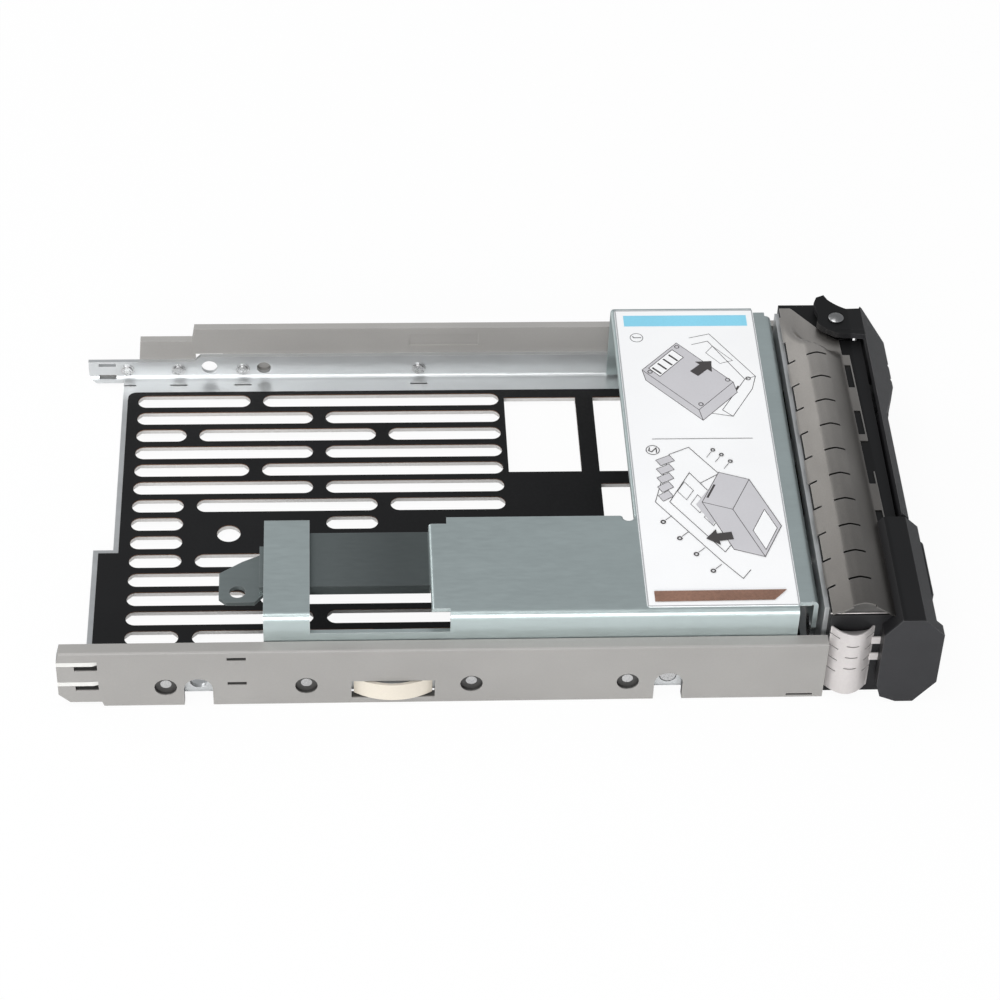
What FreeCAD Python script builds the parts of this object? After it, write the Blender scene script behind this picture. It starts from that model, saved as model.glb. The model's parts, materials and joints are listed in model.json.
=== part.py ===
"""Hot swap drive caddy: a folded steel tray between two plastic rails, with an adapter
bracket for a smaller drive, and a front frame that carries a swing lever and its release.

Units are millimetres. +X runs from the rear (connector) end to the front, +Z is up, and the
tray is symmetrical about the XZ plane. The origin is on the plane the caddy rests on, under
the middle of its length.
"""
import FreeCAD, Part
import math
import os

V = FreeCAD.Vector

# ---- Overall sizes -----------------------------------------------------------------------
DRIVE_WIDTH = 101.6          # the standard drive width that the tray takes
DRIVE_SIDE_GAP = 0.2         # from the drive to each wall
REAR_TO_DRIVE_HOLE = 30.0    # rear tips of the rails to the drive's rear side screw
DRIVE_HOLE_SPACING = 101.6   # between the two side screws of the drive, along X
DRIVE_HOLE_TO_FRAME = 34.0   # the front side screw to the front frame
FRONT_DEPTH = 24.4           # the rails' front ends to the front of the lever
RAIL_HEIGHT = 16.2
REST_PLANE = 0.0

# ---- Sheets and skins --------------------------------------------------------------------
SHEET = 1.0                  # steel of the tray and of the bracket
BEND_INSIDE = 0.8            # inside radius of a folded edge
FILM = 0.25                  # insulating film on the floor
RAIL_SKIN = 2.0              # plastic of a rail beside the steel wall
NEAR_LIP = 3.0               # width of the near rail's top
FAR_LIP = 2.0                # width of the far rail's top
FRAME_SKIN = 1.6             # plastic walls of the front frame
GASKET = 0.25                # spring strip of the two shielding gaskets
LABEL = 0.15
RUNNING_GAP = 0.3            # between pieces that move past each other
SEAT_GAP = 0.05              # between pieces that are assembled and stay put

# ---- Tray --------------------------------------------------------------------------------
FLOOR_UNDERSIDE = 1.0
WALL_TOP = 8.5
WALL_TOP_REAR = 7.0
WALL_STEP_AT = 26.5          # from the rear: where the wall rises to its full height
WALL_REAR = 1.2              # from the rear: the end of the side walls
FLOOR_REAR_FAR = 9.5         # from the rear: edge of the floor in its far part
FLOOR_REAR_NEAR = 5.0        # and in its near part
FLOOR_STEP_Y = -8.1          # where the floor's rear edge steps
FILM_INSET = 1.2
FILM_SIDE_INSET = 5.6        # from the film's edge to the side wall
FILM_FRONT_INSET = 2.0
FILM_CORNER = 2.0

# ---- Slots and windows of the floor --------------------------------------------------------
SLOT_ROWS = 15
SLOT_PITCH = 6.0
SLOT_WIDTH = 4.2
SLOT_REAR = 13.2             # from the rear
SLOT_FRONT = 99.1
SLOT_BAR = 3.0               # solid bar between two slots of one row
SLOT_CELL = 14.85            # spacing of the places where a bar can stand
SLOT_FIRST_BAR = 26.5        # from the rear
AIR_HOLE_AT = 35.5           # from the rear
AIR_HOLE_Y = -3.3
AIR_HOLE_DIA = 5.4
WINDOW_LENGTH = 17.1
WINDOW_REAR = 100.4          # from the rear
WINDOW_BAR = 4.2
WINDOW_WIDTH = 26.1
WINDOW_FAR_Y = 42.5
WINDOW_FRONT_WIDTH = 30.0    # the window in front of the far pair

# ---- Rails -------------------------------------------------------------------------------
DRIVE_HOLE_Z = 5.2
DRIVE_HOLE_DIA = 3.8
SCREW_NOTCH = 6.2            # opening in the rail round a drive screw
SCREW_NOTCH_TOP = 8.0
FAR_NOTCH = 6.6              # the far rail's notches are square
FAR_NOTCH_TOP = 8.6
NEAR_RIVETS_PAST_REAR = (-7.0, 23.2)     # from the rear side screw
NEAR_RIVETS_PAST_FRONT = (-42.8, -8.9)   # from the front side screw
FAR_RIVETS_PAST_REAR = (-19.6, -7.4, 8.0, 50.2)
RIVET_Z = 5.5
FAR_RIVET_Z = 4.5
RIVET_SHANK_DIA = 2.4
RIVET_HEAD_DIA = 3.3
RIVET_HEAD_RISE = 0.7
RIVET_POCKET_DIA = 4.9
RIVET_POCKET = 1.0
RAIL_REAR_NOSE = 2.4         # chamfer of the rail's lower rear corner
RAIL_REAR_CLEARANCE = 1.3    # how far the rear of a rail stays above the rest plane
RAIL_FOOT_AT = 9.2           # from the rear: where the rail comes down to the rest plane
FAR_STEP_ONE = 13.8          # from the rear: steps of the far rail's top
FAR_STEP_TWO = 26.7
FAR_TOP_REAR = 4.8
FAR_REAR_INSET = 1.8         # the far rail starts behind the steel wall's rear end
WALL_HOLE_AT = 43.0          # from the rear: round hole in the far wall
WALL_HOLE_DIA = 3.4
WALL_HOLE_Z = 4.9
FAR_TOP_MIDDLE = 12.5
TICK_SLOT = 4.1
TICK_SLOT_HEIGHT = 0.9
TICK_SLOT_AT = 36.3
TICK_SLOTS_Z = (6.5, 14.0)
NAME_PANEL = (77.8, 16.6, 3.6)   # from the rear, length, height of the bare moulded recess
NAME_PANEL_Z = 12.6
NAME_PANEL_DEPTH = 0.3

# ---- Light pipes and damper ----------------------------------------------------------------
PIPE = 1.2                   # side of a light pipe's square section
PIPE_GAP = 0.1
PIPE_EXPOSED = 7.5           # length of the pipe that shows at the rear of the rail
PIPE_STEP_IN = 4.0           # length over which the upper pipe goes inside the rail
PIPE_DIVE = (2.5, 6.0, 8.5)  # the lower pipe: inside the rail, at its height, in its channel
PIPE_TURN = 5.0              # the pipes turn towards the frame this far behind it
PIPE_WINDOW_RISE = 2.6       # the upper pipe ends this much higher, beside the button
PIPE_WINDOW_BACK = 4.0
UPPER_PIPE_Z = 12.9
LOWER_PIPE_Z = 9.8
LOWER_PIPE_REAR_Z = 6.9
PIPE_GROOVE_DROP = 1.4       # open groove under the exposed end
DAMPER_AT = 71.9             # from the rear: middle of the leaf
DAMPER_WINDOW = 18.0
DAMPER_LENGTH = 17.0
DAMPER_HEIGHT = 4.6
DAMPER_Z = 4.1
DAMPER_BOW = 1.1             # how far the leaf stands out of the rail
DAMPER_LEAF = 0.6

# ---- Front frame ---------------------------------------------------------------------------
FRAME_TO_LEVER = 0.8         # room between the frame and the back of the lever
FRAME_OVERHANG = 0.2         # past the tray's near wall
FRAME_TOP = 23.4
HINGE_X_FROM_FRONT = 11.8
HINGE_INSET = 8.0            # from the frame's far end to the pin
HINGE_BOSS_DIA = 9.2
HINGE_RELIEF_X = 2.2         # the frame stops this far behind the pin beyond the hinge
HINGE_DECK_RAISE = 2.3       # room under the frame for the lever's lower arm
HINGE_BAY_REACH = 5.0        # that room starts this far on the near side of the pin
BLOCK_OVERHANG = 3.8         # the block's near end past the frame's
BLOCK_WIDTH = 32.0
VENT_WIDTH = 22.0
VENT_CENTRES = (-4.0, 21.0)
VENT_LOW = 6.0
VENT_HIGH = 18.0
PAN_FRONT_INSET = 2.0        # the front wall's ends from the side walls
PAN_FRONT_TOP = 22.5

# ---- Lever and release button --------------------------------------------------------------
LEVER_TOP = 26.0
LEVER_ARM = 1.7
LEVER_WALL = 1.8
LEVER_BLOCK_GAP = 0.8
LEVER_PAST_PIN = 4.3
LEVER_DEPTH = 5.6            # depth of the lever beside the hinge
LEVER_WAIST = 3.7            # how much shallower it is beside the button
LEVER_UNDERSIDE = 0.3
LEVER_CHAMFER_X = 4.7
LEVER_CHAMFER_Z = 5.0
LEVER_LOWER_CHAMFER_Z = 6.2
PIN_DIA = 2.6
PIN_HEAD_DIA = 3.6
PIN_HEAD = 0.6
PIN_CLEARANCE = 0.05         # radial, between the pin and the lever's arms
SPRING_WIRE = 0.7
SPRING_TURNS = 3.0
HEX_ACROSS = 4.0             # honeycomb cells, across flats
HEX_WEB = 1.0
HEX_ROWS = 3
BUTTON_LENGTH = 16.4
BUTTON_HEIGHT = 15.4
BUTTON_FRONT_INSET = 0.6
BUTTON_Z = 13.0
BUTTON_RIM = 1.3             # the rim behind the face, with its gap
STEM = 4.0
CATCH = 1.5                  # lug of the lever that seats in the block
BLOCK_REAR_FROM_FRONT = 13.2
BLOCK_FRONT_INSET = 1.7
BLOCK_RIM_INSET = 0.2        # the block's near end stands further forward
BLOCK_RIM = 3.0
BUTTON_SEAT_INSET = 9.0      # wall behind the button, back from the front
BLOCK_TOP = 25.4
BLOCK_CORNER = 4.6
LEVER_RAMP = (31.0, 18.0)    # distances from the pin between which the lever gets deeper
HOOK_REACH = 8.6
HOOK_BACK = 4.6

# ---- Gaskets and fasteners -----------------------------------------------------------------
TOP_GASKET_OVER_BLOCK = 2.0  # how far its front foot reaches over the sloping back of the block
TOP_GASKET_RISE = 4.2
TOP_GASKET_PAST_PIN = 0.2
TONGUE_STRIP_WIDTH = 3.9
FINGER_COUNT = 10
FINGER_PITCH = 8.19
FINGER_FIRST = 13.9          # from the pin to the first slit
FINGER_SLIT = 0.8
FINGER_SLIT_LENGTH = 5.5
NEAR_GASKET_REAR_INSET = 0.2
NEAR_GASKET_TO_BLOCK = 1.5
NEAR_GASKET_RISE = 2.8
NEAR_GASKET_LOW = 2.5
NEAR_GASKET_HIGH = 21.0
NEAR_FINGERS = 5
FRAME_SCREW_DIA = 3.0
FRAME_SCREW_HEAD_DIA = 5.4
FRAME_SCREW_HEAD = 1.2
FRAME_SCREW_Z = 8.0
FRAME_SCREWS_FROM_NEAR = (12.2, 32.7)    # from the frame's near end
FRAME_SCREW_FROM_FAR = 13.0
SCREW_POST_DIA = 6.0
SCREW_POST = 7.0

# ---- Adapter bracket -----------------------------------------------------------------------
BRACKET_TOP = 23.5
BRACKET_BEND = 0.5
BRIDGE_BEHIND_STUD = 6.1     # the bridge's rear edge behind the studs
BRIDGE_FRONT_GAP = 1.2       # from its front edge to the tray's front wall
SIDE_FLANGE_SETBACK = 4.4    # the side flanges end this far behind that edge
ARM_LENGTH = 45.4            # of the near plate, from the bridge to its rear edge
SHOULDER_LENGTH = 4.0
ARM_WIDTH = 30.0             # of the plate that reaches rearwards along the near side
ARM_SHOULDER_DROP = 2.0
TIE_LENGTH = 26.0            # between the near plate and the strap
STRAP_WIDTH = 9.9
TONGUE_DROP = 2.5            # the tongue runs this far below the plate
TONGUE_WIDTH = 16.5
TONGUE_POINT = 9.7           # the tongue's tip behind the strap
TONGUE_HOLE_DIA = 3.5
FLANGE_UNDERSIDE = 3.0
TIE_TOP = 18.4               # top of the flange strip between strap and plate
FRONT_FLANGE_HEIGHT = 8.0
FRONT_ROLL_NEAR = 2.8        # the rolled edge stops this far inside the near flange
FRONT_ROLL_FAR = 3.8
TIE_HEIGHT = 8.0
RELIEF_DIA = 2.4
STUD_DIA = 3.4
LABEL_INSET = 0.7            # from the bridge's rear edge
LABEL_LENGTH = 33.0
LABEL_SIDE_MARGIN = 1.6

# ---- Places worked out from the sizes above --------------------------------------------------
RAIL_LENGTH = REAR_TO_DRIVE_HOLE + DRIVE_HOLE_SPACING + DRIVE_HOLE_TO_FRAME
CADDY_LENGTH = RAIL_LENGTH + FRONT_DEPTH
REAR = -CADDY_LENGTH / 2
FRONT = CADDY_LENGTH / 2
FLOOR_TOP = FLOOR_UNDERSIDE + SHEET
WALL_IN = DRIVE_WIDTH / 2 + DRIVE_SIDE_GAP
WALL_OUT = WALL_IN + SHEET
RAIL_OUT = WALL_OUT + RAIL_SKIN
RAIL_FRONT = REAR + RAIL_LENGTH
PAN_FRONT = RAIL_FRONT
FRAME_REAR = RAIL_FRONT
LEVER_REAR = FRONT - LEVER_DEPTH
FRAME_FRONT = LEVER_REAR - FRAME_TO_LEVER
PAN_FRONT_HALF = WALL_IN - PAN_FRONT_INSET
FRAME_NEAR = -(WALL_OUT + FRAME_OVERHANG)
FRAME_FAR = WALL_IN
HINGE_X = FRONT - HINGE_X_FROM_FRONT
HINGE_Y = FRAME_FAR - HINGE_INSET
HINGE_BAY = HINGE_Y - HINGE_BAY_REACH
BLOCK_NEAR = FRAME_NEAR - BLOCK_OVERHANG
BLOCK_FAR = BLOCK_NEAR + BLOCK_WIDTH
LEVER_NEAR = BLOCK_FAR + LEVER_BLOCK_GAP
LEVER_FAR = HINGE_Y + LEVER_PAST_PIN
DRIVE_HOLES_X = (REAR + REAR_TO_DRIVE_HOLE, REAR + REAR_TO_DRIVE_HOLE + DRIVE_HOLE_SPACING)
NEAR_RIVETS_X = ([DRIVE_HOLES_X[0] + past for past in NEAR_RIVETS_PAST_REAR]
                 + [DRIVE_HOLES_X[1] + past for past in NEAR_RIVETS_PAST_FRONT])
FAR_RIVETS_X = [DRIVE_HOLES_X[0] + past for past in FAR_RIVETS_PAST_REAR]
BRACKET_HALF = DRIVE_WIDTH / 2
BRIDGE_REAR = DRIVE_HOLES_X[1] - BRIDGE_BEHIND_STUD
BRIDGE_FRONT = PAN_FRONT - SHEET - BRIDGE_FRONT_GAP
ARM_REAR = BRIDGE_REAR - ARM_LENGTH
STRAP_REAR = ARM_REAR - TIE_LENGTH - STRAP_WIDTH
PIPE_Y = -(WALL_IN + PIPE / 2 + 2 * PIPE_GAP)
BLOCK_REAR = FRONT - BLOCK_REAR_FROM_FRONT
TOP_GASKET_WIDTH = BLOCK_REAR + TOP_GASKET_OVER_BLOCK - FRAME_REAR
NEAR_GASKET_WIDTH = BLOCK_REAR - NEAR_GASKET_TO_BLOCK - FRAME_REAR - NEAR_GASKET_REAR_INSET
BLOCK_FRONT = FRONT - BLOCK_FRONT_INSET
BLOCK_RIM_FRONT = FRONT - BLOCK_RIM_INSET
BUTTON_SEAT = FRONT - BUTTON_SEAT_INSET
BUTTON_Y = BLOCK_FAR - FRAME_SKIN - BUTTON_RIM - BUTTON_LENGTH / 2 - RUNNING_GAP
CATCH_X = LEVER_REAR + CATCH


# ---- Building helpers ------------------------------------------------------------------------
def block(x0, x1, y0, y1, z0, z1):
    """A box between two corners."""
    return Part.makeBox(x1 - x0, y1 - y0, z1 - z0, V(x0, y0, z0))


def rod(radius, start, length, direction):
    """A round bar from a point along a direction."""
    return Part.makeCylinder(radius, length, V(*start), V(*direction))


def peg(radius, start, length, direction, sides=16):
    """A bar of flat sides, plain enough for the small fasteners that repeat and for their holes."""
    axis = V(*direction)
    turn = FreeCAD.Rotation(V(0, 0, 1), axis)
    corners = [V(*start) + turn.multVec(V(radius * math.cos(2 * math.pi * k / sides),
                                          radius * math.sin(2 * math.pi * k / sides), 0)) for k in range(sides)]
    return Part.Face(Part.makePolygon(corners + corners[:1])).extrude(axis * length)


def face_of(points, to_vector):
    """A flat face whose outline runs through points, each made a 3-D point by to_vector.

    A point given as (u, v, "arc") is the middle of an arc between its two neighbours.
    """
    edges = []
    here = points[0]
    ring = list(points[1:]) + [points[0]]
    while ring:
        following = ring.pop(0)
        if len(following) == 3:
            end = ring.pop(0)
            edges.append(Part.Arc(to_vector(*here[:2]), to_vector(*following[:2]), to_vector(*end[:2])).toShape())
            here = end
        else:
            edges.append(Part.LineSegment(to_vector(*here[:2]), to_vector(*following[:2])).toShape())
            here = following
    return Part.Face(Part.Wire(edges))


def plan(points, z0, z1):
    """A plate with a plan outline (x, y) between two heights."""
    return face_of(points, lambda x, y: V(x, y, z0)).extrude(V(0, 0, z1 - z0))


def side(points, y0, y1):
    """A slab with an outline (x, z) between two y places."""
    return face_of(points, lambda x, z: V(x, y0, z)).extrude(V(0, y1 - y0, 0))


def section(points, x0, x1):
    """A bar with a section (y, z) between two x places."""
    return face_of(points, lambda y, z: V(x0, y, z)).extrude(V(x1 - x0, 0, 0))


def slot_along_x(x0, x1, y, width, z0, z1, punched=False):
    """A slot cutter along X: round-ended, or with the eight-sided ends of a punch."""
    half = width / 2
    if punched:
        a, b = half * (2 - math.sqrt(2)), half * (math.sqrt(2) - 1)
        return plan([(x0 + a, y - half), (x1 - a, y - half), (x1, y - b), (x1, y + b), (x1 - a, y + half),
                     (x0 + a, y + half), (x0, y + b), (x0, y - b)], z0, z1)
    outline = [(x0 + half, y - half), (x1 - half, y - half), (x1, y, "arc"), (x1 - half, y + half),
               (x0 + half, y + half), (x0, y, "arc")]
    return plan(outline, z0, z1)


def rounded(shape, radius, wanted):
    """Fillet the edges of a shape that wanted picks."""
    edges = [edge for edge in shape.Edges if wanted(edge)]
    return shape.makeFillet(radius, edges)


def join(shapes):
    """Fuse solids into one and clean the seams."""
    return shapes[0].multiFuse(shapes[1:]).removeSplitter()


def cut(shape, cutters):
    """Cut a list of solids from a shape."""
    return shape.cut(Part.makeCompound(cutters)) if len(cutters) == 1 else shape.cut(cutters)


def runs_along_x(edge, y, z, reach=0.01):
    """True for a straight edge along X at the given y and z."""
    a, b = edge.Vertexes[0].Point, edge.Vertexes[-1].Point
    return all(abs(p.y - y) < reach and abs(p.z - z) < reach for p in (a, b)) and abs(a.x - b.x) > reach


def runs_along_y(edge, x, z, reach=0.01):
    """True for a straight edge along Y at the given x and z."""
    a, b = edge.Vertexes[0].Point, edge.Vertexes[-1].Point
    return all(abs(p.x - x) < reach and abs(p.z - z) < reach for p in (a, b)) and abs(a.y - b.y) > reach


def square_pipe(points, side_length):
    """A square bar along a path of straight runs, with mitred corners."""
    path = Part.makePolygon([V(*p) for p in points])
    x, y, z = points[0]
    half = side_length / 2
    ring = [V(x, y - half, z - half), V(x, y + half, z - half), V(x, y + half, z + half), V(x, y - half, z + half)]
    return path.makePipeShell([Part.makePolygon(ring + ring[:1])], True, False, 1)


def coil(radius, wire, turns, height, place):
    """A coil spring of six-sided drawn wire about an axis given by a placement."""
    helix = Part.makeHelix(height / turns, height, radius)
    corners = [V(radius + wire / 2 * math.cos(k * math.pi / 3), 0, wire / 2 * math.sin(k * math.pi / 3))
               for k in range(6)]
    start = Part.makePolygon(corners + corners[:1])
    spring = Part.Wire(helix.Edges).makePipeShell([start], True, True)
    spring.Placement = place
    return spring


# ---- Tray ------------------------------------------------------------------------------------
def slot_bars(row):
    """Which bar places are solid in one row of slots, and the places where it starts and ends."""
    patterns = {0: (1,), 1: (2,), 2: (0, 3), 3: (2,), 4: (1,), 5: (2,), 6: (0, 3)}
    return patterns[row % len(patterns)]


def floor_slots(z0, z1, punched):
    """Cutters for the rows of ventilation slots and the air hole."""
    cutters = []
    middle = (SLOT_ROWS - 1) / 2
    air_hole_rows = (SLOT_ROWS // 2, SLOT_ROWS // 2 + 1)
    for row in range(SLOT_ROWS):
        y = (middle - row) * SLOT_PITCH
        bars = (0, 3) if row in air_hole_rows else slot_bars(row)
        ends = [REAR + SLOT_REAR]
        for bar in bars:
            centre = REAR + SLOT_FIRST_BAR + bar * SLOT_CELL
            ends += [centre - SLOT_BAR / 2, centre + SLOT_BAR / 2]
        ends.append(REAR + SLOT_FRONT)
        spans = list(zip(ends[0::2], ends[1::2]))
        if row == air_hole_rows[0]:
            spans = [spans[0], (spans[1][0] + 2 * SLOT_CELL, spans[1][1])]
        if row == air_hole_rows[1]:
            spans = [spans[0], (spans[2][0] + SLOT_CELL / 3, spans[2][1])]
        cutters += [slot_along_x(x0, x1, y, SLOT_WIDTH, z0, z1, punched) for x0, x1 in spans]
    cutters.append(rod(AIR_HOLE_DIA / 2, (REAR + AIR_HOLE_AT, AIR_HOLE_Y, z0), z1 - z0, (0, 0, 1)))
    return cutters


def floor_windows(z0, z1):
    """Cutters for the three rectangular windows under the front part of a drive."""
    x0 = REAR + WINDOW_REAR
    x1 = x0 + WINDOW_LENGTH
    x2 = x1 + WINDOW_BAR
    x3 = x2 + WINDOW_LENGTH
    y1 = WINDOW_FAR_Y
    y0 = y1 - WINDOW_WIDTH
    far_pair = [block(x0, x1, y0, y1, z0, z1), block(x2, x3, y0, y1, z0, z1)]
    return far_pair + [block(x2, x3, y0 - WINDOW_BAR - WINDOW_FRONT_WIDTH, y0 - WINDOW_BAR, z0, z1)]


def make_tray_pan():
    """The folded steel tray: floor, two low side walls and a front wall."""
    outer = block(REAR + WALL_REAR, PAN_FRONT, -WALL_OUT, WALL_OUT, FLOOR_UNDERSIDE, WALL_TOP)
    inner = block(REAR, PAN_FRONT - SHEET, -WALL_IN, WALL_IN, FLOOR_TOP, WALL_TOP + SHEET)
    outer = rounded(outer, BEND_INSIDE + SHEET,
                    lambda e: any(runs_along_x(e, s * WALL_OUT, FLOOR_UNDERSIDE) for s in (-1, 1)))
    inner = rounded(inner, BEND_INSIDE,
                    lambda e: any(runs_along_x(e, s * WALL_IN, FLOOR_TOP) for s in (-1, 1)))
    front = block(PAN_FRONT - SHEET, PAN_FRONT, -PAN_FRONT_HALF, PAN_FRONT_HALF, FLOOR_UNDERSIDE, PAN_FRONT_TOP)
    pan = join([outer.cut(inner), front])

    floor_edge = WALL_IN - BEND_INSIDE
    cutters = [
        block(REAR, REAR + FLOOR_REAR_FAR, FLOOR_STEP_Y, floor_edge, 0, FLOOR_TOP),
        block(REAR, REAR + FLOOR_REAR_NEAR, -floor_edge, FLOOR_STEP_Y, 0, FLOOR_TOP),
    ]
    ramp = WALL_TOP - WALL_TOP_REAR
    for s in (-1, 1):
        y0, y1 = sorted((s * (WALL_IN - SHEET), s * (WALL_OUT + SHEET)))
        step_x = REAR + WALL_STEP_AT
        cutters.append(side([(REAR, WALL_TOP_REAR), (step_x, WALL_TOP_REAR), (step_x + ramp, WALL_TOP),
                             (step_x + ramp, WALL_TOP + SHEET), (REAR, WALL_TOP + SHEET)], y0, y1))
        nose = REAR + WALL_REAR
        cutters.append(side([(nose, REST_PLANE), (nose + RAIL_REAR_NOSE, REST_PLANE), (nose, FLOOR_TOP + SHEET)],
                            y0, y1))
        for z in (FLOOR_TOP + SHEET / 2, WALL_TOP_REAR - SHEET):
            cutters.append(block(nose + RAIL_REAR_NOSE, nose + RAIL_REAR_NOSE + TICK_SLOT, y0, y1,
                                 z - TICK_SLOT_HEIGHT / 2, z + TICK_SLOT_HEIGHT / 2))
        for x in DRIVE_HOLES_X:
            cutters.append(rod(DRIVE_HOLE_DIA / 2, (x, y0, DRIVE_HOLE_Z), y1 - y0, (0, 1, 0)))
    for x in NEAR_RIVETS_X:
        cutters.append(peg(RIVET_SHANK_DIA / 2 + SEAT_GAP, (x, -WALL_OUT - 1, RIVET_Z), 4, (0, 1, 0)))
        cutters.append(peg(RIVET_HEAD_DIA / 2 + SEAT_GAP, (x, -WALL_IN - SHEET / 2, RIVET_Z), 2, (0, 1, 0)))
    for x in FAR_RIVETS_X:
        cutters.append(peg(RIVET_SHANK_DIA / 2 + SEAT_GAP, (x, WALL_IN - 1, FAR_RIVET_Z), 4, (0, 1, 0)))
        tick_y = WALL_IN - BEND_INSIDE - 2 * SHEET
        cutters.append(block(x - TICK_SLOT / 2, x + TICK_SLOT / 2, tick_y - SHEET / 4, tick_y + SHEET / 4,
                             0, FLOOR_TOP + SHEET))
    cutters.append(rod(WALL_HOLE_DIA / 2, (REAR + WALL_HOLE_AT, WALL_IN - 1, WALL_HOLE_Z), 3, (0, 1, 0)))
    for y in VENT_CENTRES:
        cutters.append(block(PAN_FRONT - 2 * SHEET, PAN_FRONT + SHEET, y - VENT_WIDTH / 2, y + VENT_WIDTH / 2,
                             VENT_LOW, VENT_HIGH))
    for y in frame_screw_places():
        cutters.append(peg(FRAME_SCREW_DIA / 2 + SEAT_GAP, (PAN_FRONT - 2 * SHEET, y, FRAME_SCREW_Z), 3 * SHEET,
                           (1, 0, 0)))
    pan = cut(pan, cutters)
    return cut(pan, floor_slots(0, FLOOR_TOP + 1, True) + floor_windows(0, FLOOR_TOP + 1))


def make_floor_film():
    """The black insulating film, cut to the floor's slots and windows."""
    rear_far = REAR + FLOOR_REAR_FAR + FILM_INSET
    rear_near = REAR + FLOOR_REAR_NEAR + FILM_INSET
    front = PAN_FRONT - SHEET - FILM_FRONT_INSET
    w = WALL_IN - FILM_SIDE_INSET
    r = FILM_CORNER
    k = r * (1 - math.sqrt(0.5))
    outline = [(rear_near, -w), (front, -w), (front, w), (rear_far + r, w), (rear_far + k, w - k, "arc"),
               (rear_far, w - r), (rear_far, FLOOR_STEP_Y - FILM_INSET), (rear_near, FLOOR_STEP_Y - FILM_INSET)]
    film = plan(outline, FLOOR_TOP, FLOOR_TOP + FILM)
    return cut(film, floor_slots(0, FLOOR_TOP + 1, False) + floor_windows(0, FLOOR_TOP + 1))


# ---- Rails -----------------------------------------------------------------------------------
def rail_outline(top_points):
    """Side outline (x, z) of a rail: a nose at the rear and a foot on the rest plane."""
    return [(REAR, RAIL_REAR_CLEARANCE + RAIL_REAR_NOSE), (REAR + RAIL_REAR_NOSE, RAIL_REAR_CLEARANCE),
            (REAR + RAIL_FOOT_AT, RAIL_REAR_CLEARANCE), (REAR + RAIL_FOOT_AT + 0.4, REST_PLANE),
            (RAIL_FRONT, REST_PLANE)] + top_points


def screw_notches(y0, y1):
    """Cutters for the round-topped notches that clear the drive's side screws."""
    half = SCREW_NOTCH / 2
    shoulder = SCREW_NOTCH_TOP - half
    return [side([(x - half, -1), (x + half, -1), (x + half, shoulder), (x, SCREW_NOTCH_TOP, "arc"),
                  (x - half, shoulder)], y0, y1) for x in DRIVE_HOLES_X]


def pipe_paths():
    """Paths of the two light pipes, from the rear of the near rail to the front of the block."""
    exposed_y = -(RAIL_OUT - PIPE / 2)
    buried_y = -(WALL_OUT + PIPE / 2 + PIPE_GAP)
    frame_y = -(PAN_FRONT_HALF + PIPE / 2 + PIPE_GAP)
    turn_in = RAIL_FRONT - PIPE_TURN
    shown = REAR + PIPE_EXPOSED
    sunk, level, channel = [shown + reach for reach in PIPE_DIVE]
    window_z = UPPER_PIPE_Z + PIPE_WINDOW_RISE
    through = FRAME_REAR - SHEET
    upper = [(REAR, exposed_y, UPPER_PIPE_Z), (shown, exposed_y, UPPER_PIPE_Z),
             (shown + PIPE_STEP_IN, PIPE_Y, UPPER_PIPE_Z), (turn_in, PIPE_Y, UPPER_PIPE_Z),
             (through, frame_y, UPPER_PIPE_Z), (BUTTON_SEAT - 3 * SHEET, frame_y, UPPER_PIPE_Z),
             (FRONT - PIPE_WINDOW_BACK, frame_y, window_z), (BLOCK_FRONT, frame_y, window_z)]
    lower = [(REAR, exposed_y, LOWER_PIPE_REAR_Z), (shown, exposed_y, LOWER_PIPE_REAR_Z),
             (sunk, buried_y, LOWER_PIPE_REAR_Z), (level, buried_y, LOWER_PIPE_Z),
             (channel, PIPE_Y, LOWER_PIPE_Z), (turn_in, PIPE_Y, LOWER_PIPE_Z),
             (through, frame_y, LOWER_PIPE_Z), (BLOCK_FRONT, frame_y, LOWER_PIPE_Z)]
    return {"upper_light_pipe": upper, "lower_light_pipe": lower}


def make_light_pipe(name):
    """A clear square bar that carries light from the connector end to the front."""
    return square_pipe(pipe_paths()[name], PIPE)


def pipe_channels():
    """Cutters for the snap-in channels and the open grooves of the light pipes."""
    room = PIPE + 2 * PIPE_GAP
    cutters = []
    for name, z_rear in (("upper_light_pipe", UPPER_PIPE_Z), ("lower_light_pipe", LOWER_PIPE_REAR_Z)):
        path = pipe_paths()[name]
        start = (path[0][0] - 1.0,) + path[0][1:]
        cutters.append(square_pipe([start] + path[1:6], room))
        z_run = path[5][2]
        run_start = path[2][0] if name.startswith("upper") else path[4][0]
        cutters.append(block(run_start, RAIL_FRONT + 1, PIPE_Y - room / 2, -WALL_IN + 1, z_run - room / 2,
                             z_run + room / 2))
        cutters.append(block(REAR + PIPE_EXPOSED / 2, REAR + PIPE_EXPOSED + 1.2, -RAIL_OUT - 1,
                             -(RAIL_OUT - PIPE - PIPE_GAP), z_rear - PIPE / 2 - PIPE_GROOVE_DROP,
                             z_rear + PIPE / 2 + PIPE_GAP))
    return cutters


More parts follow.
